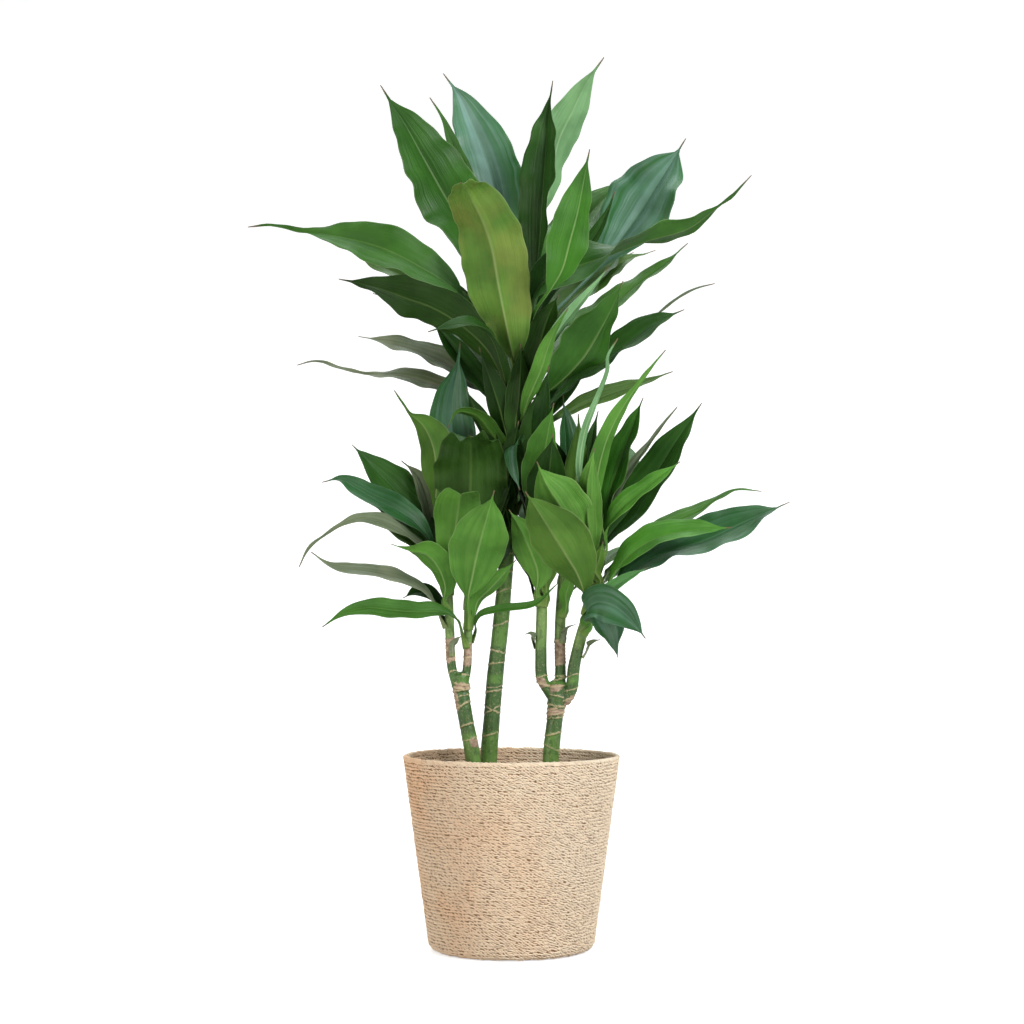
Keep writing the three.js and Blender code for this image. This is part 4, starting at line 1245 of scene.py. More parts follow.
@dataclass
class Cane:
    """One cane with the shoots that grow from it, as one solid. Sizes are in millimetres.

    youth gives the heights between which the side shoots turn to fresh green, ridges how far the
    layers of the patches stand out, and oval how far the stems are out of round. Each scar has a
    groove of the depth neck below it, groove_below times its width away, and wanders up and down by
    wander. A patch fades in over edge millimetres at its foot and its top and over fade degrees at
    its sides. A stem's end is domed by the share dome of its radius.
    """

    name: str
    stems: tuple[Shoot, ...]
    grain: float = 1.15
    ring_sides: int = 28
    step: float = 4.0
    neck: float = 0.35
    groove_below: float = 1.9
    wander: tuple[float, float] = (0.55, 0.2)
    ridges: float = 0.25
    oval: float = 0.12
    edge: tuple[float, float] = (3.0, 4.0)
    fade: float = 25.0
    dome: float = 0.6
    youth: tuple[float, float] = (322.0, 352.0)

    def tube(self, stem: Stem) -> Shape:
        """Build one plain stem with a rounded top.

        Args:
            stem: The stem.

        Returns:
            The points in metres and the faces.
        """
        low, high = stem.span
        heights = np.linspace(low, high, max(6, int((high - low) / self.step)))
        radii = stem.radius(heights)
        end = radii[-1]
        cap = np.linspace(0, math.pi / 2, 5)[1:-1]
        heights = np.concatenate([heights, high + end * self.dome * np.sin(cap)])
        radii = np.concatenate([radii, end * np.cos(cap)])
        centres = stem.axis(np.minimum(heights, high))
        centres[:, 2] = heights
        angle = np.linspace(0, 2 * np.pi, self.ring_sides, endpoint=False)
        circle = np.stack([np.cos(angle), np.sin(angle), np.zeros_like(angle)], axis=1)
        rows = centres[:, None, :] + radii[:, None, None] * circle[None]
        points = np.concatenate([rows.reshape(-1, 3), centres[:1], centres[-1:] + [[0, 0, end * 0.05]]]) * MM
        return points, ring_faces(len(heights), self.ring_sides)

    def build(self) -> None:
        """Join the stems into one skin, and raise its scars and patches."""
        raw = mesh_piece(f"{self.name}_raw", *merged(self.tube(shoot.value) for shoot in self.stems))
        remesh = raw.modifiers.new("skin", "REMESH")
        remesh.mode = "VOXEL"
        remesh.voxel_size = self.grain * MM
        skin = modified(raw, f"{self.name}_skin")
        self.dress(skin.data)
        skin.data.shade_smooth()
        skin.data.materials.clear()
        skin.data.materials.append(CaneFinish().material("cane_skin"))
        keep(skin, "cane", self.name)

    def dress(self, mesh: bpy.types.Mesh) -> None:
        """Move the skin out at its scars, and store where scars, patches and fibres are.

        Args:
            mesh: The joined skin, in metres.
        """
        place = np.empty(len(mesh.vertices) * 3)
        mesh.vertices.foreach_get("co", place)
        place = place.reshape(-1, 3) / MM
        height = place[:, 2].copy()
        owner, angle, outward = self.owners(place)
        scar, bark, out = np.zeros((3, len(place)))
        slow, quick = self.wander
        shake = slow * np.sin(2 * angle + height / 5) + quick * np.sin(7 * angle + height / 9)
        near_edge, far_edge = self.edge
        for i, shoot in enumerate(self.stems):
            on = owner == i
            for ring in SCARS[shoot]:
                near = height - (ring.height + ring.slant * (0.5 + 0.5 * np.cos(angle)) + shake)
                hill = np.exp(-(near / ring.width) ** 2) * on
                groove = np.exp(-((near + self.groove_below * ring.width) / ring.width) ** 2) * on
                scar = np.maximum(scar, hill)
                out += ring.bulge * hill - self.neck * groove
            for patch in PATCHES[shoot]:
                turn = np.degrees(np.abs((angle - math.radians(patch.bearing) + np.pi) % (2 * np.pi) - np.pi))
                tall = smooth(patch.low - far_edge, patch.low + near_edge, height + 2 * shake)
                short = 1 - smooth(patch.high - near_edge, patch.high + far_edge, height + 2 * shake)
                wide = 1 - smooth(patch.spread - self.fade, patch.spread + self.fade, turn)
                bark = np.maximum(bark, on * tall * short * wide)
        layers = self.ridges * bark * (1 + np.sin(height * 1.7 + 2 * np.sin(angle)))
        out += layers + self.oval * np.sin(2 * angle + height / 11)
        place[:, :2] += outward * out[:, None]
        mesh.vertices.foreach_set("co", (place * MM).ravel())
        side = np.isin(owner, [i for i, shoot in enumerate(self.stems) if shoot in SIDE_SHOOTS])
        young = side * smooth(*self.youth, height)
        for label, values in (("scar", scar), ("bark", bark), ("young", young)):
            mesh.attributes.new(label, "FLOAT", "POINT").data.foreach_set("value", values)
        fibre = np.stack([np.cos(angle), np.sin(angle), height * MM], axis=1)
        mesh.attributes.new("fibre", "FLOAT_VECTOR", "POINT").data.foreach_set("vector", fibre.ravel())
        mesh.update()

    def owners(self, place: np.ndarray) -> tuple[np.ndarray, np.ndarray, np.ndarray]:
        """Find the stem that each point of the skin belongs to.

        Args:
            place: The points in millimetres.

        Returns:
            The number of each point's stem, its bearing in radians about the stem's axis and the
            direction from that axis to the point.
        """
        best = np.full(len(place), 1e9)
        angle, owner = np.zeros(len(place)), np.zeros(len(place), int)
        outward = np.zeros((len(place), 2))
        for i, shoot in enumerate(self.stems):
            stem = shoot.value
            low, high = stem.span
            off = place[:, :2] - stem.axis(place[:, 2])[:, :2]
            reach = np.hypot(*off.T)
            beyond = np.maximum(low - place[:, 2], 0) + np.maximum(place[:, 2] - high, 0)
            score = reach / stem.radius(place[:, 2]) + beyond
            mine = score < best
            best[mine], owner[mine] = score[mine], i
            angle[mine] = np.arctan2(off[mine, 1], off[mine, 0])
            outward[mine] = off[mine] / np.maximum(reach[mine], 1e-6)[:, None]
        return owner, angle, outward


# ---------------------------------------------------------------- leaves


@dataclass(frozen=True)
class Leaf:
    """One leaf, in millimetres and degrees.

    rise is the height where it leaves its stem, via the points x, z, depth of its midrib up to
    the tip, and face how its blade lies from foot to tip: 0 shows the viewer its upper face, 90
    turns that face to the sky or the stem, and 180 shows the viewer the underside. petiole is the
    share of its length that is narrow at the foot, tail the share that is a drawn-out thread, and
    widest the place of the greatest width between them. wave is how far its margins ripple, and
    shade how much darker than its tone it is, from 0 to 1: partly the leaf's own darker green,
    partly painted shade on leaves that sit deep in the plant or under others.
    """

    name: str
    shoot: Shoot
    rise: float
    width: float
    face: tuple[float, ...]
    tone: Tone
    via: tuple[Point, ...]
    fold: float = 18.0
    petiole: float = 0.16
    widest: float = 0.5
    tail: float = 0.05
    wave: float = 1.7
    shade: float = 0.35


class Blade:
    """Turns a Leaf into a closed mesh. Sizes are in millimetres, and shares are those of its length.

    GAP is the room between foot and stem, and RISE and LEAN are how far the leaf first goes up
    along the stem and away from it. FOOT is the petiole's half width, of which the share SLIMMEST
    is left at its end. The blade opens over OVERLAP and OPENING. THREAD and END are the half widths
    of the drawn-out tip, over the last POINT. FULLNESS and DRAWN shape the outline, ARCH the cross
    section, FLATTEST the least bend of it, LAMINA and RIB the thickness of blade and midrib. The
    sheath is SHEATH long and wraps SHEATH_WRAP of the stem's radius. RIPPLE is the length of a wave
    of the margin, and QUICKER, SWAYS and RAGS are how many smaller waves, sways and rags there are
    to one of them. SWAY and RAGGED are how far the blade turns and its margin varies, and PLEATS and
    PLEAT the number and depth of its pleats. The waves run in over STIRRING and calm down from
    CALMING to the tip.
    """

    STATIONS = 68
    HALF = np.array([0, 0.05, 0.13, 0.22, 0.31, 0.4, 0.5, 0.6, 0.7, 0.8, 0.9, 0.97, 1])
    ACROSS = np.concatenate([-HALF[:0:-1], HALF])
    GAP, RISE, LEAN = 1.05, 13.0, 4.0
    FOOT, SLIMMEST, OVERLAP, OPENING = 4.5, 0.5, 0.1, 0.25
    THREAD, END, POINT = 2.7, 0.45, 34.0
    FULLNESS, DRAWN = 0.72, 0.25
    ARCH, FLATTEST = 0.42, 1e-4
    LAMINA, RIB, RIB_WIDTH, RIB_GROOVE = 0.5, 1.1, 1.7, 0.35
    SHEATH, SHEATH_WRAP = 20.0, 1.5
    RIPPLE, SWAY, RAGGED = 52.0, 0.11, 0.02
    QUICKER, SWAYS, RAGS = 1.9, (0.45, 0.8), 1.7
    STIRRING, CALMING = 0.2, 0.86
    PLEATS, PLEAT = 2.6, 0.008

    def __init__(self, leaf: Leaf) -> None:
        """Take the leaf."""
        self.leaf = leaf
        self.phase = np.random.RandomState(seed_of(leaf.name)).uniform(0, 2 * np.pi, 10)

    def spine(self) -> tuple[Path, int, float]:
        """Lay the midrib from the stem to the tip.

        Returns:
            Its path, the side that the leaf leaves its stem on, 1 or -1, and the stem's radius.
        """
        leaf, stem = self.leaf, self.leaf.shoot.value
        rise = np.array([leaf.rise])
        axis, radius = stem.axis(rise)[0], float(stem.radius(rise)[0])
        rib = [sighted(*point) for point in leaf.via]
        side = 1 if rib[-1][0] < axis[0] else -1
        bearing = math.pi / 2 + side * math.radians(leaf.face[0])
        out = np.array([math.cos(bearing), math.sin(bearing), 0.0])
        foot = axis + out * (radius + self.GAP)
        clear = foot + stem.direction(leaf.rise) * self.RISE + out * self.LEAN
        return Path([foot, clear, *rib]), side, radius

    def half_width(self, place: np.ndarray, length: float, radius: float) -> np.ndarray:
        """Return half of the blade's width at places between foot and tip.

        Args:
            place: Shares of the midrib's length.
            length: That length.
            radius: The stem's radius, which the sheath wraps.

        Returns:
            Half widths, measured along the surface.
        """
        leaf = self.leaf
        along = np.clip((place - leaf.petiole) / (1 - leaf.tail - leaf.petiole), 0, 1)
        skew = math.log(0.5) / math.log(leaf.widest)
        fullness = self.FULLNESS + self.DRAWN * smooth(0.5, 1, along)
        blade = leaf.width / 2 * np.sin(np.pi * along ** skew) ** fullness
        narrowing = np.clip(1 - place / (2 * leaf.petiole), self.SLIMMEST, 1)
        thread = self.END + (self.THREAD - self.END) * np.clip((1 - place) * length / self.POINT, 0, 1)
        ending = smooth(leaf.petiole, leaf.petiole + self.OVERLAP, place)
        least = min(self.FOOT, leaf.width / 3) * narrowing * (1 - ending) + thread * ending
        half = (blade ** 4 + least ** 4) ** 0.25
        sheath = min(radius * self.SHEATH_WRAP, leaf.width / 2.2)
        ease = smooth(0, self.SHEATH, place * length)
        return np.maximum(half, sheath * (1 - ease) + half * ease)

    def frames(self, path: Path, side: int, place: np.ndarray) -> tuple[np.ndarray, np.ndarray, np.ndarray]:
        """Find how the blade lies along its midrib.

        Args:
            path: The midrib's path.
            side: The side that the leaf leaves its stem on, 1 or -1.
            place: Shares of the midrib's length.

        Returns:
            The midrib's points, and the directions across the blade and out of its upper face.
        """
        leaf, phase = self.leaf, self.phase
        centre = path.even(place)
        along = np.gradient(centre, axis=0)
        along /= np.linalg.norm(along, axis=1, keepdims=True)
        facing = np.empty_like(along)
        last = np.array([1.0, 0.0, 0.0])
        for i, way in enumerate(along):
            last = last - way * last.dot(way)
            last /= np.linalg.norm(last)
            facing[i] = last
        bend = np.interp(place, np.linspace(0, 1, len(leaf.face)), np.radians(leaf.face))
        soft = np.convolve(np.pad(bend, 5, "edge"), np.ones(11) / 11, "valid")
        beats = path.length / self.RIPPLE
        slow, quick = self.SWAYS
        sway = self.lively(place) * (np.sin(2 * np.pi * slow * beats * place + phase[6])
                                     + 0.5 * np.sin(2 * np.pi * quick * beats * place + phase[7]))
        across = turned(facing, along, side * soft + self.SWAY * sway)
        return centre, across, np.cross(across, along)

    def lively(self, place: np.ndarray) -> np.ndarray:
        """Return how much of its waves and pleats the blade has at places, from 0 to 1."""
        return smooth(self.leaf.petiole, self.leaf.petiole + self.STIRRING, place)

    def build(self) -> tuple[np.ndarray, np.ndarray, np.ndarray, int]:
        """Build the blade.

        Returns:
            The places in metres, the faces, the UV of each corner, and how many faces come before
            those of the underside.
        """
        leaf, phase = self.leaf, self.phase
        path, side, radius = self.spine()
        place = np.linspace(0, 1, self.STATIONS + 1)
        centre, across, up = (rows[:, None, :] for rows in self.frames(path, side, place))
        beats, lively = path.length / self.RIPPLE, self.lively(place)
        half = self.half_width(place, path.length, radius)
        u = self.ACROSS[None, :]
        sign = np.sign(u)
        ragged = [1 + self.RAGGED * np.sin(2 * np.pi * self.RAGS * beats * place + phase[k])
                  for k in (0, 1)]
        size = half[:, None] * np.where(u < 0, ragged[0][:, None], ragged[1][:, None])
        off = np.abs(u) * size
        opened = np.minimum(1, place / self.OPENING)
        free = smooth(0, 1.3 * leaf.petiole, place)
        arch = self.ARCH * opened
        crease = ((math.radians(leaf.fold) + 0.5 * arch) * opened)[:, None]
        curve = ((1 - free) / (radius + self.GAP) - free * arch / np.maximum(half, 2.0))[:, None]
        curve = np.where(np.abs(curve) < self.FLATTEST, self.FLATTEST, curve)
        angle = crease + curve * off
        x = (np.sin(angle) - np.sin(crease)) / curve
        y = (np.cos(crease) - np.cos(angle)) / curve
        swell = lively * (1 - smooth(self.CALMING, 1.0, place))
        reach = leaf.wave * min(1.0, leaf.width / 60)
        for k, one in enumerate((-1, 1)):
            beat = (np.sin(2 * np.pi * beats * place + phase[2 + k])
                    + 0.5 * np.sin(2 * np.pi * self.QUICKER * beats * place + phase[4 + k]))
            pleat = np.sin(2 * np.pi * self.PLEATS * np.abs(u) + phase[8 + k])
            pleat = pleat * (self.PLEAT * half * lively)[:, None] * np.abs(u) ** 0.5
            y = y + np.where(sign == one, (reach * beat * swell)[:, None] * u ** 2 + pleat, 0)
        middle = centre + across * (sign * x)[..., None] + up * y[..., None]
        normal = up * np.cos(angle)[..., None] - across * (sign * np.sin(angle))[..., None]
        thin = (1 - 0.7 * place)[:, None]
        lamina = self.LAMINA * (0.55 + 0.45 * thin) * (1 - 0.4 * np.abs(u))
        ridge = np.exp(-(off / self.RIB_WIDTH) ** 2) * thin
        top = middle + normal * (lamina / 2 - self.RIB_GROOVE * ridge)[..., None]
        bottom = middle - normal * (lamina / 2 + self.RIB * ridge)[..., None]
        return self.closed(np.concatenate([top, bottom[:, ::-1]], axis=1), place)

    def closed(self, rings: np.ndarray, place: np.ndarray) -> tuple[np.ndarray, np.ndarray, np.ndarray, int]:
        """Join rings of points into a closed body.

        Args:
            rings: Points of each ring: the upper face from left to right, then the underside back.
            place: The place of each ring along the blade.

        Returns:
            What build returns.
        """
        count, wide = len(rings), rings.shape[1]
        n = wide // 2
        i, k = np.meshgrid(np.arange(count - 1), np.arange(wide), indexing="ij")
        after = (k + 1) % wide
        low, high = i * wide, (i + 1) * wide
        quads = np.stack([low + k, low + after, high + after, high + k], axis=-1)
        k = np.arange(n - 1)
        foot = np.stack([k + 1, k, wide - 1 - k, wide - 2 - k], axis=-1)
        tip = np.stack([k, k + 1, wide - 2 - k, wide - 1 - k], axis=-1) + (count - 1) * wide
        upper = np.concatenate([quads[:, :n].reshape(-1, 4), foot])
        faces = np.concatenate([upper, quads[:, n:].reshape(-1, 4), tip])
        points = rings.reshape(-1, 3) * MM
        a, b, c, d = (points[faces[:, j]] for j in range(4))
        volume = np.sum(np.cross(a, b) * c) + np.sum(np.cross(a, c) * d)
        if volume < 0:
            faces = faces[:, ::-1]
        share = (np.concatenate([self.ACROSS, self.ACROSS[::-1]]) + 1) / 2
        uv = np.stack([np.tile(share, count), np.repeat(place, wide)], axis=1)
        return points, faces, uv[faces.ravel()], len(upper)


@dataclass(frozen=True)
class Foliage:
    """Leaves of the plant, each as its own piece; modelled tells whether the CAD model has them."""

    leaves: tuple[Leaf, ...]
    modelled: bool

    def build(self) -> None:
        """Build and dress every leaf."""
        for leaf in self.leaves:
            points, faces, uv, upper = Blade(leaf).build()
            piece = mesh_piece(f"{leaf.name}_blade", points, faces)
            mesh = piece.data
            mesh.uv_layers.new(name="blade").data.foreach_set("uv", uv.ravel())
            # own holds the leaf's shade with a little random change: partly its own darker green, partly
            # painted shade.
            own = leaf.shade + np.random.RandomState(seed_of(leaf.name) + 1).uniform(0, 0.05)
            mesh.attributes.new("own", "FLOAT", "POINT").data.foreach_set("value", np.full(len(points), own))
            for material in leaf.tone.materials:
                mesh.materials.append(material)
            mesh.polygons.foreach_set("material_index", (np.arange(len(faces)) >= upper).astype(np.int32))
            mesh.update()
            keep(piece, leaf.tone.slot, *((leaf.name,) if self.modelled else ()))


def leaf_of(part: str) -> Callable[..., Leaf]:
    """Return a function that makes the leaves of one part of the plant.

    Args:
        part: The part, which begins the names of its leaves.

    Returns:
        The function, which takes what Leaf takes, with the points of the midrib one by one.
    """

    def make(name: str, shoot: Shoot, rise: float, width: float, face: tuple[float, ...], tone: Tone,
             *via: Point, **more: float) -> Leaf:
        """Return one leaf; see Leaf."""
        return Leaf(f"{part}_leaf_{name}", shoot, rise, width, face, tone, via, **more)

    return make


crown, left, right = leaf_of("crown"), leaf_of("left"), leaf_of("right")
DEEP, MID, OLIVE, BRIGHT, MINT, BLUE, DRY = Tone

CROWN_LEAVES = (
    # the lowest leaves of the crown, on the left
    crown("lowest_left", TOP, 550, 36, (80, 30, 20), DRY, (-30, 588, 28), (-60, 608, 42), (-87, 622, 50),
        (-122, 631, 56), (-163, 634, 60), (-218, 648, 62), (-238, 644, 62), widest=0.42, tail=0.25,
        shade=0.0),
    crown("grey_left", TOP, 572, 46, (60, 30, 22), DRY, (-20, 603, 30), (-46, 626, 44), (-72, 644, 52),
        (-98, 656, 58), (-124, 665, 62), (-149, 672, 64), (-170, 676, 66), shade=0.0),
    crown("dark_left", TOP, 604, 68, (100, 135, 145, 150), DEEP, (-26, 660, 4), (-58, 690, -2),
        (-88, 708, -6), (-118, 719, -6), (-152, 731, -2), (-192, 740, 0), petiole=0.14, widest=0.42,
        shade=0.5),
    crown("small_left", TOP, 590, 32, (135, 110, 60), DEEP, (-10, 640, -34), (-24, 676, -52),
        (-44, 689, -62), (-68, 688, -68), (-93, 681, -72), shade=0.6),
    crown("long_left", TOP, 636, 58, (120, 60, 40, 36), MID, (-22, 690, -26), (-48, 716, -34),
        (-76, 738, -42), (-98, 751, -48), (-121, 764, -50), (-146, 775, -48), (-173, 783, -44),
        (-202, 789, -38), (-238, 795, -32), (-266, 800, -26), (-293, 798, -20), petiole=0.3, widest=0.42,
        tail=0.17, shade=0.6),
    crown("olive_left", TOP, 646, 44, (60, 22, 12), OLIVE, (-22, 690, 24), (-56, 711, 40), (-90, 729, 50),
        (-120, 743, 56), (-150, 757, 58), (-186, 780, 60)),
    # the leaves that stand up at the top, from left to right
    crown("upper_left", TOP, 668, 84, (30, 20, 15), MID, (-26, 748, 26), (-56, 802, 30), (-80, 842, 32),
        (-100, 878, 32), (-120, 915, 30), (-136, 940, 26), (-146, 957, 20), widest=0.52, shade=0.8),
    crown("blue", TOP, 678, 71, (8, 5, 0), BLUE, (2, 750, 44), (-12, 812, 66), (-27, 868, 78),
        (-42, 908, 86), (-58, 944, 92), (-76, 970, 96), widest=0.58, shade=0.1),
    crown("front", TOP, 622, 76, (165, 178, 180, 180), OLIVE, (-4, 680, -42), (-14, 730, -64),
        (-22, 774, -88), (-32, 804, -108), (-44, 828, -132), (-52, 842, -164), (-57, 848, -212),
        petiole=0.1, widest=0.44, shade=0.28),
    crown("dark_upright", TOP, 680, 56, (80, 40, 32), DEEP, (28, 745, 8), (33, 800, 12), (36, 850, 14),
        (39, 895, 16), (42, 930, 16), (46, 962, 14), fold=30, widest=0.5, shade=0.3),
    crown("tallest", TOP, 692, 48, (10, 80, 155, 168), MINT, (28, 755, 34), (37, 810, 48), (45, 860, 54),
        (54, 898, 56), (67, 925, 56), (83, 958, 54), (103, 988, 50), widest=0.64),
    crown("short_front", TOP, 664, 50, (130, 165, 172), BRIGHT, (27, 704, -46), (43, 728, -70),
        (56, 750, -79), (65, 782, -80), (73, 812, -76), (80, 848, -70), (87, 885, -64), petiole=0.36,
        widest=0.44, shade=0.95),
    crown("striped_right", TOP, 656, 92, (35, 16, 10), BLUE, (50, 704, 40), (92, 748, 58), (122, 785, 64),
        (146, 819, 68), (167, 852, 68), (194, 897, 64), petiole=0.42, widest=0.6, shade=0.3),
    # the leaves that spread to the right
    crown("twisted_right", TOP, 612, 58, (150, 120, 50, 40, 95, 150, 155, 155), MID, (14, 680, -26),
        (25, 722, -32), (48, 746, -42), (82, 757, -48), (116, 769, -50), (150, 782, -46), (196, 796, -40),
        (228, 819, -34), (250, 837, -32), (267, 856, -30), petiole=0.24, widest=0.38, tail=0.12,
        shade=0.85),
    crown("slim_right", TOP, 640, 36, (55, 38, 30), MID, (54, 684, 28), (100, 704, 38), (140, 733, 44),
        (170, 756, 48), (196, 780, 50), shade=0.0),
    crown("front_right", TOP, 588, 72, (125, 150, 155), MID, (36, 612, -24), (59, 630, -34), (81, 654, -44),
        (98, 682, -50), (112, 709, -54), (124, 738, -58), widest=0.52, shade=1.0),
    crown("dark_right", TOP, 578, 48, (80, 60, 42), DEEP, (40, 600, 0), (76, 630, 2), (106, 651, 4),
        (131, 670, 6), (155, 689, 8), (192, 706, 10), widest=0.56),
    crown("lowest_right", TOP, 556, 26, (60, 22, 15), OLIVE, (36, 576, 24), (72, 596, 42), (106, 611, 50),
        (134, 620, 54), (179, 637, 58), shade=0.0),
    crown("strap_front", TOP, 564, 22, (150, 155, 155), BRIGHT, (15, 598, -30), (32, 638, -58),
        (45, 676, -80), (63, 708, -96), shade=0.3),
    # the leaves of the far side
    crown("back_low_left", TOP, 582, 56, (25, 30, 35), MID, (-22, 630, 70), (-52, 668, 120),
        (-84, 700, 164), (-110, 712, 205)),
    crown("back_low", TOP, 600, 60, (0, 0, 0), MID, (0, 650, 70), (-6, 690, 130), (-10, 706, 190),
        (-14, 700, 240)),
    crown("back_low_right", TOP, 594, 58, (30, 35, 30), MID, (36, 640, 60), (66, 672, 104), (92, 694, 150),
        (112, 704, 200)),
    crown("back_middle", TOP, 614, 64, (0, 0, 0), MID, (2, 684, 50), (-6, 754, 110), (-16, 796, 168),
        (-26, 806, 224)),
    crown("back_right", TOP, 630, 62, (35, 40, 40), MID, (46, 690, 62), (84, 730, 104), (116, 758, 146),
        (136, 770, 190)),
)

LEFT_LEAVES = (
    # broad leaves that lean towards the viewer
    left("front", LEFT_B, 350, 66, (178, 180, 180), BRIGHT, (-48, 386, -32), (-44, 406, -44),
        (-39, 430, -58), (-32, 458, -76), (-25, 483, -90), (-19, 505, -100), petiole=0.24, widest=0.48),
    left("blunt", LEFT_A, 388, 54, (165, 175, 180), BRIGHT, (-66, 425, -34), (-62, 462, -46),
        (-58, 490, -62), (-57, 500, -84), (-55, 500, -112), petiole=0.12, widest=0.58, shade=0.1),
    left("wavy", LEFT_B, 408, 88, (172, 180, 180), DEEP, (-47, 452, -20), (-46, 496, -28), (-45, 534, -42),
        (-45, 558, -70), (-44, 565, -116), petiole=0.1, widest=0.44, wave=5.0, shade=0.0),
    left("low_front", LEFT_A, 368, 40, (150, 150, 150), BRIGHT, (-73, 398, -26), (-80, 418, -36),
        (-94, 434, -46), (-112, 438, -54), (-134, 446, -58)),
    # leaves that stand up
    left("olive_high", LEFT_A, 440, 50, (95, 150, 155), OLIVE, (-84, 482, -10), (-83, 520, -12),
        (-87, 554, -10), (-98, 577, -8), (-114, 592, -6), (-130, 616, -4), widest=0.55, tail=0.16,
        shade=0.7),
    left("blue_high", LEFT_B, 446, 54, (15, 5, 0), BLUE, (-60, 500, 12), (-65, 555, 18), (-66, 600, 16),
        (-60, 640, 14), (-57, 670, 14), widest=0.54, tail=0.09, shade=0.5),
    # leaves that spread to the left
    left("striped", LEFT_A, 426, 52, (40, 25, 20), DEEP, (-96, 472, 16), (-122, 498, 26), (-146, 523, 30),
        (-177, 556, 30), widest=0.52, shade=0.0),
    left("glossy", LEFT_A, 408, 38, (85, 55, 48, 40), BLUE, (-88, 446, -14), (-108, 471, -18),
        (-130, 485, -20), (-150, 494, -20), (-172, 507, -20), (-190, 517, -20), (-210, 514, -18),
        widest=0.56, shade=0.95),
    left("drooping_tip", LEFT_A, 392, 23, (100, 70, 60, 55), DRY, (-86, 427, -18), (-108, 449, -28),
        (-130, 464, -36), (-152, 472, -42), (-172, 473, -46), (-190, 466, -46), (-208, 454, -46),
        (-224, 441, -46), (-235, 420, -46), widest=0.42, tail=0.25),
    left("thin", LEFT_A, 352, 26, (90, 56, 46), DRY, (-84, 378, -14), (-97, 393, -16), (-122, 406, -18),
        (-155, 414, -20), (-198, 421, -24), (-222, 437, -26), widest=0.42, shade=0.0),
    left("lowest", LEFT_B, 330, 28, (140, 90, 55, 52), MID, (-60, 362, -26), (-78, 370, -32),
        (-104, 370, -38), (-130, 372, -40), (-158, 375, -42), (-184, 370, -44), (-209, 354, -44),
        widest=0.4),
    # leaves of the far side
    left("back", LEFT_A, 378, 54, (15, 20, 25), MID, (-74, 420, 30), (-82, 462, 70), (-94, 494, 110),
        (-110, 506, 150)),
    left("back_low", LEFT_B, 372, 52, (5, 0, 0), MID, (-50, 408, 36), (-52, 438, 80), (-58, 452, 124),
        (-64, 446, 164)),
)

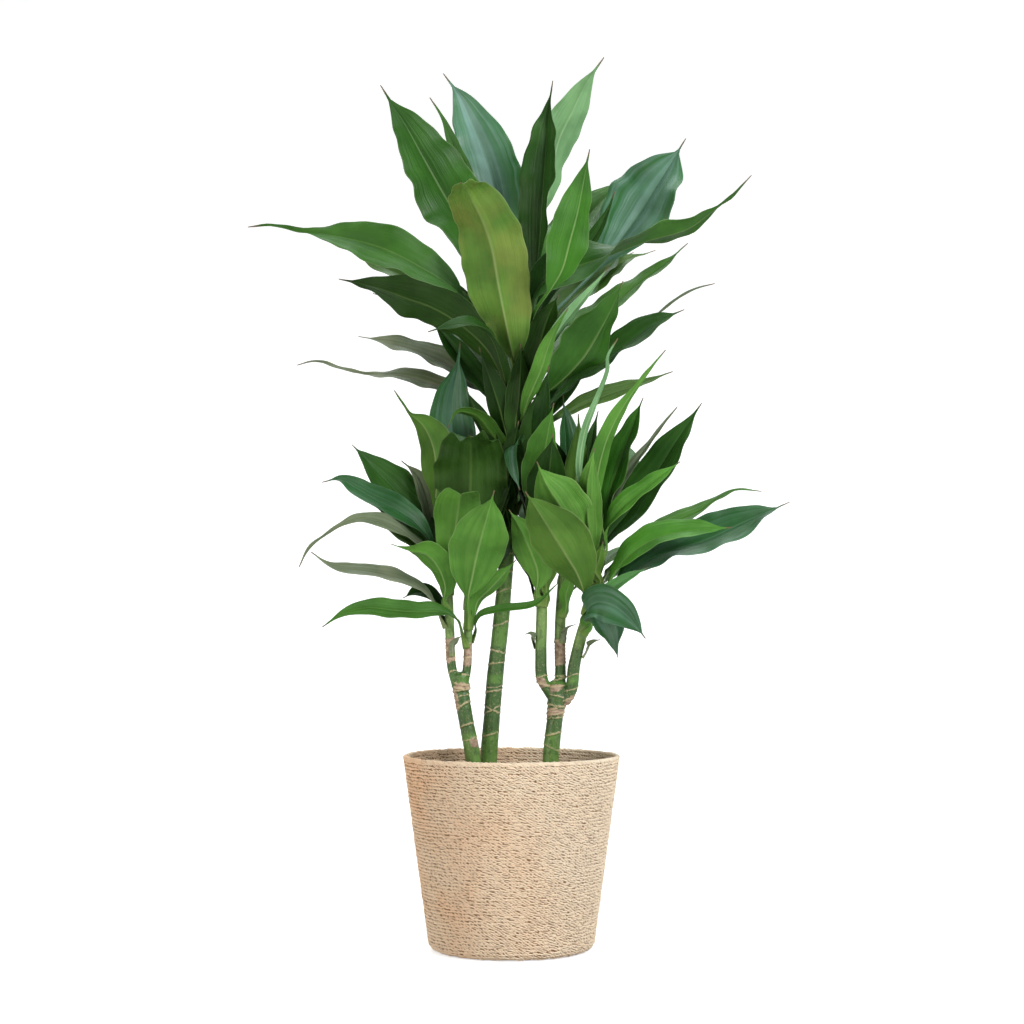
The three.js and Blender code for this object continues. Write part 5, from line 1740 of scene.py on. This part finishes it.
RIGHT_LEAVES = (
    # broad leaves that lean towards the viewer
    right("inner_left", RIGHT_A, 376, 46, (150, 165, 170), BRIGHT, (29, 414, -30), (21, 438, -44),
        (10, 462, -54), (-3, 484, -60), shade=0.25),
    right("front", RIGHT_C, 366, 72, (160, 175, 180), OLIVE, (80, 394, -42), (73, 412, -54), (61, 432, -68),
        (47, 454, -82), (32, 478, -94), (15, 504, -106), petiole=0.18, widest=0.52, shade=0.55),
    right("second", RIGHT_C, 400, 64, (160, 170, 175), BRIGHT, (82, 434, -38), (69, 461, -60),
        (53, 488, -76), (38, 513, -84), (28, 537, -90), fold=26, widest=0.6, shade=0.2),
    # leaves that stand up
    right("young", RIGHT_A, 462, 46, (140, 155, 160), BRIGHT, (32, 505, -42), (36, 540, -64),
        (41, 572, -80), (47, 602, -92), fold=30, petiole=0.1, shade=0.75),
    right("dark_tall", RIGHT_A, 474, 38, (80, 50, 40), DEEP, (35, 516, -18), (38, 565, -42), (39, 605, -64),
        (41, 643, -78), shade=0.7),
    right("blue_tall", RIGHT_B, 468, 36, (20, 30, 40), BLUE, (62, 515, 18), (60, 555, 22), (58, 588, 22),
        (57, 611, 22), fold=35, shade=1.0),
    right("dark_middle", RIGHT_B, 440, 48, (150, 150, 150), DEEP, (56, 485, -14), (50, 525, -22),
        (46, 568, -26), shade=0.7),
    right("strap", RIGHT_C, 438, 25, (140, 150, 150), BRIGHT, (93, 484, -32), (95, 520, -40),
        (105, 560, -44), (123, 597, -46), (147, 631, -46), (171, 661, -46), widest=0.42, tail=0.16,
        shade=0.55),
    right("bright", RIGHT_C, 448, 42, (60, 45, 40), BRIGHT, (107, 495, -6), (119, 532, -2), (131, 566, 0),
        (146, 608, 0), shade=0.95),
    # leaves that spread to the right
    right("dark_big", RIGHT_C, 410, 52, (35, 25, 20), DEEP, (104, 448, 8), (130, 482, 18), (156, 517, 24),
        (183, 560, 26), (211, 602, 26), widest=0.46),
    right("light_upper", RIGHT_C, 424, 32, (110, 60, 42), BRIGHT, (106, 462, -40), (124, 487, -46),
        (146, 505, -48), (166, 521, -50), (187, 537, -50), shade=0.0),
    right("high_tip", RIGHT_C, 394, 34, (70, 50, 45), MID, (112, 420, -2), (150, 450, 4), (184, 470, 6),
        (208, 481, 6), (228, 495, 6), (248, 505, 4), (277, 504, 2), widest=0.45, tail=0.12, shade=0.0),
    right("light_lower", RIGHT_C, 378, 44, (110, 60, 46), BRIGHT, (106, 400, -42), (120, 420, -46),
        (138, 439, -50), (164, 453, -50), (194, 460, -50), (244, 464, -48), widest=0.5),
    right("long_glossy", RIGHT_C, 354, 60, (85, 55, 45, 45), BLUE, (104, 384, -22), (122, 407, -24),
        (150, 427, -24), (184, 440, -22), (216, 450, -22), (246, 464, -20), (276, 478, -18),
        (308, 492, -14), widest=0.56, shade=0.9),
    right("drooping", RIGHT_C, 346, 42, (140, 75, 50, 50), BLUE, (84, 372, -46), (94, 381, -56),
        (110, 379, -66), (126, 368, -72), (138, 355, -76), (148, 341, -76), shade=0.55),
    # leaves of the far side
    right("back", RIGHT_B, 400, 56, (5, 0, 0), MID, (62, 440, 44), (64, 478, 88), (60, 500, 132),
        (54, 504, 174)),
    right("back_low", RIGHT_B, 376, 54, (45, 50, 50), MID, (84, 408, 36), (112, 428, 74), (138, 440, 112),
        (160, 438, 146)),
)

SMALL_LEAVES = (
    # in the crown
    crown("tucked_tip", TOP, 672, 28, (20, 15, 10), MID, (-20, 760, 50), (-45, 830, 56), (-62, 880, 56),
        (-78, 922, 52), (-91, 943, 48)),
    crown("small_tip", TOP, 650, 24, (30, 20, 15), DEEP, (40, 720, 20), (70, 758, 26), (97, 795, 26),
        (108, 818, 24), (115, 838, 22)),
    crown("grey_thread", TOP, 574, 13, (60, 40, 35), DRY, (40, 640, 30), (90, 664, 44), (150, 692, 50),
        (182, 716, 52), (202, 728, 52), (226, 735, 50), tail=0.2),
    crown("mint_strip", TOP, 596, 17, (130, 150, 150), MINT, (30, 640, -34), (50, 680, -58), (75, 712, -64),
        (108, 753, -66)),
    crown("dark_inner", TOP, 606, 34, (150, 165, 170), DEEP, (26, 650, -22), (36, 684, -34), (44, 706, -44),
        (52, 722, -58)),
    crown("curl_left", TOP, 500, 24, (120, 140, 150), MID, (-8, 545, -10), (-22, 568, -18), (-40, 588, -26),
        (-60, 591, -30), (-71, 574, -32)),
    crown("teal_drop", TOP, 520, 25, (110, 150, 165), BLUE, (8, 556, -24), (3, 552, -36), (3, 532, -44),
        (9, 505, -48)),
    crown("shadow_left", TOP, 545, 32, (40, 30, 25), DEEP, (-10, 590, 20), (-30, 618, 28), (-55, 650, 34),
        (-80, 684, 38), (-96, 702, 40)),
    crown("shadow_right", TOP, 548, 30, (40, 30, 25), DEEP, (30, 580, 24), (52, 606, 34), (78, 640, 40),
        (100, 672, 44)),
    crown("core_front", TOP, 452, 36, (176, 178, 178), DEEP, (-6, 486, -12), (-4, 520, -20), (2, 552, -26),
        (8, 582, -30), shade=0.8),
    crown("core_right", TOP, 478, 34, (120, 140, 150), DEEP, (16, 520, -8), (22, 556, -14), (27, 592, -20),
        (30, 622, -24), shade=0.7),
    crown("core_left", TOP, 486, 36, (110, 130, 140), DEEP, (-14, 528, -4), (-28, 562, -8), (-40, 592, -10),
        (-50, 618, -10), shade=0.75),
    crown("core_brown", TOP, 516, 30, (150, 165, 165), DEEP, (-4, 556, -14), (-12, 592, -20),
        (-24, 630, -26), (-36, 664, -30), shade=0.9),
    crown("core_high", TOP, 534, 30, (150, 160, 160), DEEP, (4, 574, -16), (8, 606, -24), (10, 640, -30),
        (10, 668, -34), shade=0.5),
    crown("core_back", TOP, 470, 54, (8, 4, 0), DEEP, (4, 520, 30), (2, 566, 44), (6, 606, 54),
        (8, 642, 60), shade=0.9),
    crown("back_high_left", TOP, 650, 66, (10, 10, 10), MID, (-16, 730, 60), (-38, 790, 104),
        (-58, 828, 146), (-74, 848, 186)),
    crown("back_high_right", TOP, 660, 66, (12, 10, 10), MID, (34, 740, 64), (68, 790, 100),
        (104, 830, 130), (134, 852, 160)),
    crown("back_far_left", TOP, 606, 50, (20, 20, 20), MID, (-36, 664, 66), (-76, 694, 100),
        (-116, 712, 124), (-154, 724, 140)),
    crown("back_far_right", TOP, 616, 52, (20, 20, 20), OLIVE, (44, 690, 60), (82, 730, 96),
        (122, 758, 124), (160, 772, 146)),

    # on the left shoots
    left("shadow_high", LEFT_A, 400, 30, (30, 20, 20), DEEP, (-86, 440, 8), (-110, 462, 14),
        (-134, 478, 16), (-156, 490, 16)),
    left("olive_low", LEFT_A, 384, 28, (50, 40, 30), OLIVE, (-86, 424, 2), (-108, 445, 4), (-128, 458, 4),
        (-147, 468, 4)),
    left("dark_low", LEFT_A, 356, 27, (70, 50, 40), DEEP, (-80, 378, 2), (-92, 390, 2), (-105, 392, 0),
        (-120, 386, -2)),
    left("thin_right", LEFT_B, 336, 10, (60, 50, 45), MID, (-40, 358, -16), (-34, 368, -20),
        (-13, 374, -28), (26, 380, -34), (50, 401, -38), shade=0.55),
    left("bright_right", LEFT_B, 352, 25, (140, 150, 150), BRIGHT, (-38, 382, -16), (-26, 394, -24),
        (-11, 410, -30), (5, 428, -34)),
    left("shaded_right", LEFT_B, 356, 27, (30, 20, 10), DEEP, (-40, 384, 6), (-32, 398, 12), (-22, 416, 16),
        (-14, 432, 16)),
    left("grey_tip", LEFT_A, 414, 27, (30, 20, 20), DRY, (-84, 452, 14), (-92, 490, 20), (-103, 520, 22),
        (-122, 538, 22)),
    left("inner_dark", LEFT_B, 398, 46, (150, 155, 150), DEEP, (-36, 436, -8), (-20, 464, -14),
        (-6, 496, -18), (2, 526, -20), shade=0.8),
    left("inner_shaded", LEFT_B, 420, 40, (60, 50, 45), DEEP, (-38, 462, 8), (-24, 500, 14), (-12, 536, 18),
        (-4, 562, 18), shade=0.9),
    left("inner_low", LEFT_B, 372, 34, (120, 130, 130), DEEP, (-34, 404, -10), (-18, 424, -14),
        (-4, 446, -16), (4, 470, -16), shade=0.7),
    left("back_left", LEFT_A, 396, 48, (15, 15, 15), MID, (-86, 450, 42), (-102, 478, 80), (-120, 502, 106),
        (-136, 518, 128)),
    left("back_right", LEFT_B, 388, 48, (10, 10, 10), MID, (-38, 440, 40), (-30, 480, 82), (-28, 508, 116),
        (-30, 524, 148)),
    left("back_top", LEFT_B, 430, 46, (10, 5, 5), DEEP, (-50, 490, 34), (-50, 534, 60), (-52, 566, 84),
        (-56, 584, 108)),

    # on the right shoots
    right("thread", RIGHT_C, 430, 9, (140, 150, 150), MINT, (76, 520, -56), (80, 566, -60), (90, 595, -62),
        (101, 622, -62), (107, 640, -62), (107, 654, -62), (118, 674, -62), tail=0.1),
    right("brown_olive", RIGHT_B, 462, 27, (20, 20, 20), OLIVE, (66, 505, 28), (76, 530, 34), (86, 552, 36),
        (93, 567, 36)),
    right("dark_slim", RIGHT_C, 440, 26, (20, 30, 30), DEEP, (88, 490, 8), (86, 530, 12), (90, 565, 12),
        (96, 593, 12)),
    right("mint_low", RIGHT_C, 362, 19, (90, 60, 50), MINT, (102, 388, -54), (119, 402, -60),
        (136, 412, -64), (151, 420, -66)),
    right("teal_hanging", RIGHT_C, 350, 46, (140, 90, 60, 30), BLUE, (94, 373, -34), (108, 367, -46),
        (117, 349, -54), (117, 320, -58), tail=0.02, shade=0.45),
    right("grey_pair", RIGHT_C, 436, 16, (35, 30, 30), DRY, (116, 505, 14), (140, 540, 20), (165, 574, 24),
        (184, 598, 24), tail=0.2),
    right("sheath_upper", RIGHT_C, 392, 17, (150, 160, 165), OLIVE, (93, 414, -30), (97, 430, -36),
        (101, 448, -40)),
    right("sheath_middle", RIGHT_A, 376, 17, (150, 160, 160), OLIVE, (38, 400, -20), (45, 420, -26),
        (52, 444, -30)),
    right("sheath_light", RIGHT_B, 364, 16, (150, 160, 160), BRIGHT, (60, 388, -14), (64, 402, -20),
        (69, 418, -24)),
    right("bright_small", RIGHT_C, 344, 17, (140, 120, 110), BRIGHT, (82, 364, -34), (89, 374, -40),
        (96, 384, -42)),
    right("dark_point", RIGHT_A, 432, 48, (165, 170, 172), DEEP, (34, 470, -38), (39, 504, -60),
        (43, 536, -78), (46, 568, -94), fold=26, shade=1.0),
    right("inner_dark", RIGHT_A, 410, 42, (80, 70, 60), DEEP, (22, 450, 2), (14, 484, 4), (10, 516, 4),
        (10, 544, 4), shade=0.9),
    right("inner_low", RIGHT_A, 380, 40, (60, 50, 40), DEEP, (20, 412, 4), (10, 440, 8), (4, 468, 8),
        (2, 492, 8), shade=0.85),
    right("between", RIGHT_B, 414, 44, (130, 140, 140), DEEP, (58, 456, -16), (60, 494, -26),
        (66, 528, -32), (70, 556, -34), shade=0.8),
    right("mint_blade", RIGHT_C, 412, 34, (150, 160, 165), BRIGHT, (88, 446, -44), (84, 478, -62),
        (84, 510, -72), (92, 552, -78), shade=0.2),
    right("olive_point", RIGHT_B, 444, 28, (150, 155, 155), OLIVE, (68, 486, -22), (72, 524, -36),
        (75, 556, -42), (74, 590, -44), shade=0.6),
    right("back_left", RIGHT_A, 400, 48, (10, 10, 10), MID, (30, 446, 36), (26, 484, 76), (24, 512, 112),
        (26, 528, 146)),
    right("back_high", RIGHT_C, 416, 50, (15, 15, 15), MID, (108, 470, 36), (120, 510, 72), (128, 540, 104),
        (132, 558, 136)),
    right("back_side", RIGHT_C, 386, 48, (45, 40, 40), OLIVE, (120, 414, 30), (150, 436, 62),
        (176, 446, 90), (198, 448, 114)),

    # dry bracts on the shoots
    Leaf("left_bract_dark", LEFT_A, 322, 9, (160, 140, 130), DRY,
        ((-63, 336, -20), (-59, 341, -22), (-55, 344, -22)), wave=0.6),
    Leaf("right_bract_left", RIGHT_A, 330, 9, (60, 70, 80), DRY,
        ((26, 343, -14), (21, 347, -16), (15, 346, -16)), wave=0.6),
    Leaf("right_bract_middle", RIGHT_B, 336, 11, (150, 130, 120), DRY,
        ((59, 349, -10), (64, 354, -13), (71, 357, -14)), wave=0.6),
    Leaf("right_bract_right", RIGHT_C, 320, 10, (100, 80, 70), DRY,
        ((84, 333, -24), (91, 338, -26), (98, 340, -26)), wave=0.6),
)


# ---------------------------------------------------------------- studio


@dataclass
class Studio:
    """The pale floor that sweeps up behind the plant, the soft lights and the camera.

    Sizes are in metres. A lamp has a name, a place, the length of its side, its power in watts and
    its colour.
    """

    eye: Point = (0.0, -EYE_DISTANCE * MM, EYE_HEIGHT * MM)
    rise_degrees: float = 1.97
    lens: float = 79.45
    sensor: float = 36.0
    shift: float = 0.0005
    farthest: float = 50.0
    floor_half_width: float = 6.0
    floor_front: float = -6.0
    floor_back: float = 0.8
    sweep: float = 3.6
    wall_height: float = 6.0
    floor_colour: str = "e6e6e4"
    floor_patches: str = "e2e2e0"
    backdrop_glow: float = 0.68
    ambient: float = 0.2
    room_colour: Colour = (0.97, 0.985, 1.0)
    middle: Point = (0.0, 0.0, 0.5)
    lamps: tuple[tuple[str, Point, float, float, Colour], ...] = (
        ("key", (1.9, -2.0, 1.9), 1.5, 88.0, (0.96, 0.985, 1.0)),
        ("fill", (-2.3, -1.9, 0.9), 1.8, 34.0, (1.0, 0.94, 0.86)),
        ("sky", (-0.2, 0.9, 2.8), 2.2, 58.0, (0.9, 0.96, 1.0)))

    def build(self) -> None:
        """Build the camera, the floor, the light all round and the lamps, which look at the plant."""
        camera = bpy.data.cameras.new("camera")
        camera.lens = self.lens
        camera.sensor_width = self.sensor
        camera.shift_x = self.shift
        camera.clip_end = self.farthest
        stand = placed("camera", camera)
        stand.location = self.eye
        stand.rotation_euler = (math.radians(90 + self.rise_degrees), 0, 0)
        bpy.context.scene.camera = stand
        bpy.context.scene.view_settings.view_transform = "Standard"
        self.backdrop()
        world = bpy.data.worlds.new("room")
        world.use_nodes = True
        Nodes(world.node_tree).filled(world.node_tree.nodes["Background"], ("Color", "Strength"),
                                      (*self.room_colour, 1.0), self.ambient)
        bpy.context.scene.world = world
        for name, place, size, watts, colour in self.lamps:
            light = bpy.data.lights.new(name, "AREA")
            light.shape = "SQUARE"
            light.size = size
            light.energy = watts
            light.color = colour
            look = (Vector(self.middle) - Vector(place)).to_track_quat("-Z", "Y")
            placed(name, light).matrix_world = Matrix.Translation(place) @ look.to_matrix().to_4x4()

    def backdrop(self) -> None:
        """Build the floor and the wall behind it as one curved sheet."""
        turn = np.linspace(-math.pi / 2, 0, 24)
        bend = [(self.floor_back + self.sweep * math.cos(t), self.sweep * (1 + math.sin(t))) for t in turn]
        line = [(self.floor_front, 0.0), *bend, (self.floor_back + self.sweep, self.wall_height)]
        points = [(x, y, z) for y, z in line for x in (-self.floor_half_width, self.floor_half_width)]
        faces = [(2 * i, 2 * i + 1, 2 * i + 3, 2 * i + 2) for i in range(len(line) - 1)]
        material, n, shader = blank_material("pale_floor")
        place = n.add("ShaderNodeTexCoord").outputs["Object"]
        tone = n.mix(n.noise(place, 3.0), linear(self.floor_colour), linear(self.floor_patches))
        seen = n.add("ShaderNodeLightPath").outputs["Is Camera Ray"]
        n.filled(shader, ("Base Color", "Roughness", "Specular IOR Level", "Emission Color",
                          "Emission Strength"),
                 tone, 0.7, 0.2, (1.0, 1.0, 1.0, 1.0), n.times(seen, self.backdrop_glow))
        mesh_piece("backdrop", np.array(points), faces, material)


# ---------------------------------------------------------------- the whole plant


def main() -> None:
    """Build the studio, the basket with its pot, the canes and the leaves."""
    logging.basicConfig(level=logging.INFO, format="%(message)s")
    for part in (Studio(), Basket(), NurseryPot(),
                 Cane("left_cane", (LEFT_FOOT, LEFT_A, LEFT_B)),
                 Cane("middle_cane", (TOP,)),
                 Cane("right_cane", (RIGHT_FOOT, RIGHT_A, RIGHT_B, RIGHT_C)),
                 Foliage((*CROWN_LEAVES, *LEFT_LEAVES, *RIGHT_LEAVES), modelled=True),
                 Foliage(SMALL_LEAVES, modelled=False)):
        part.build()


if __name__ == "__main__":
    main()
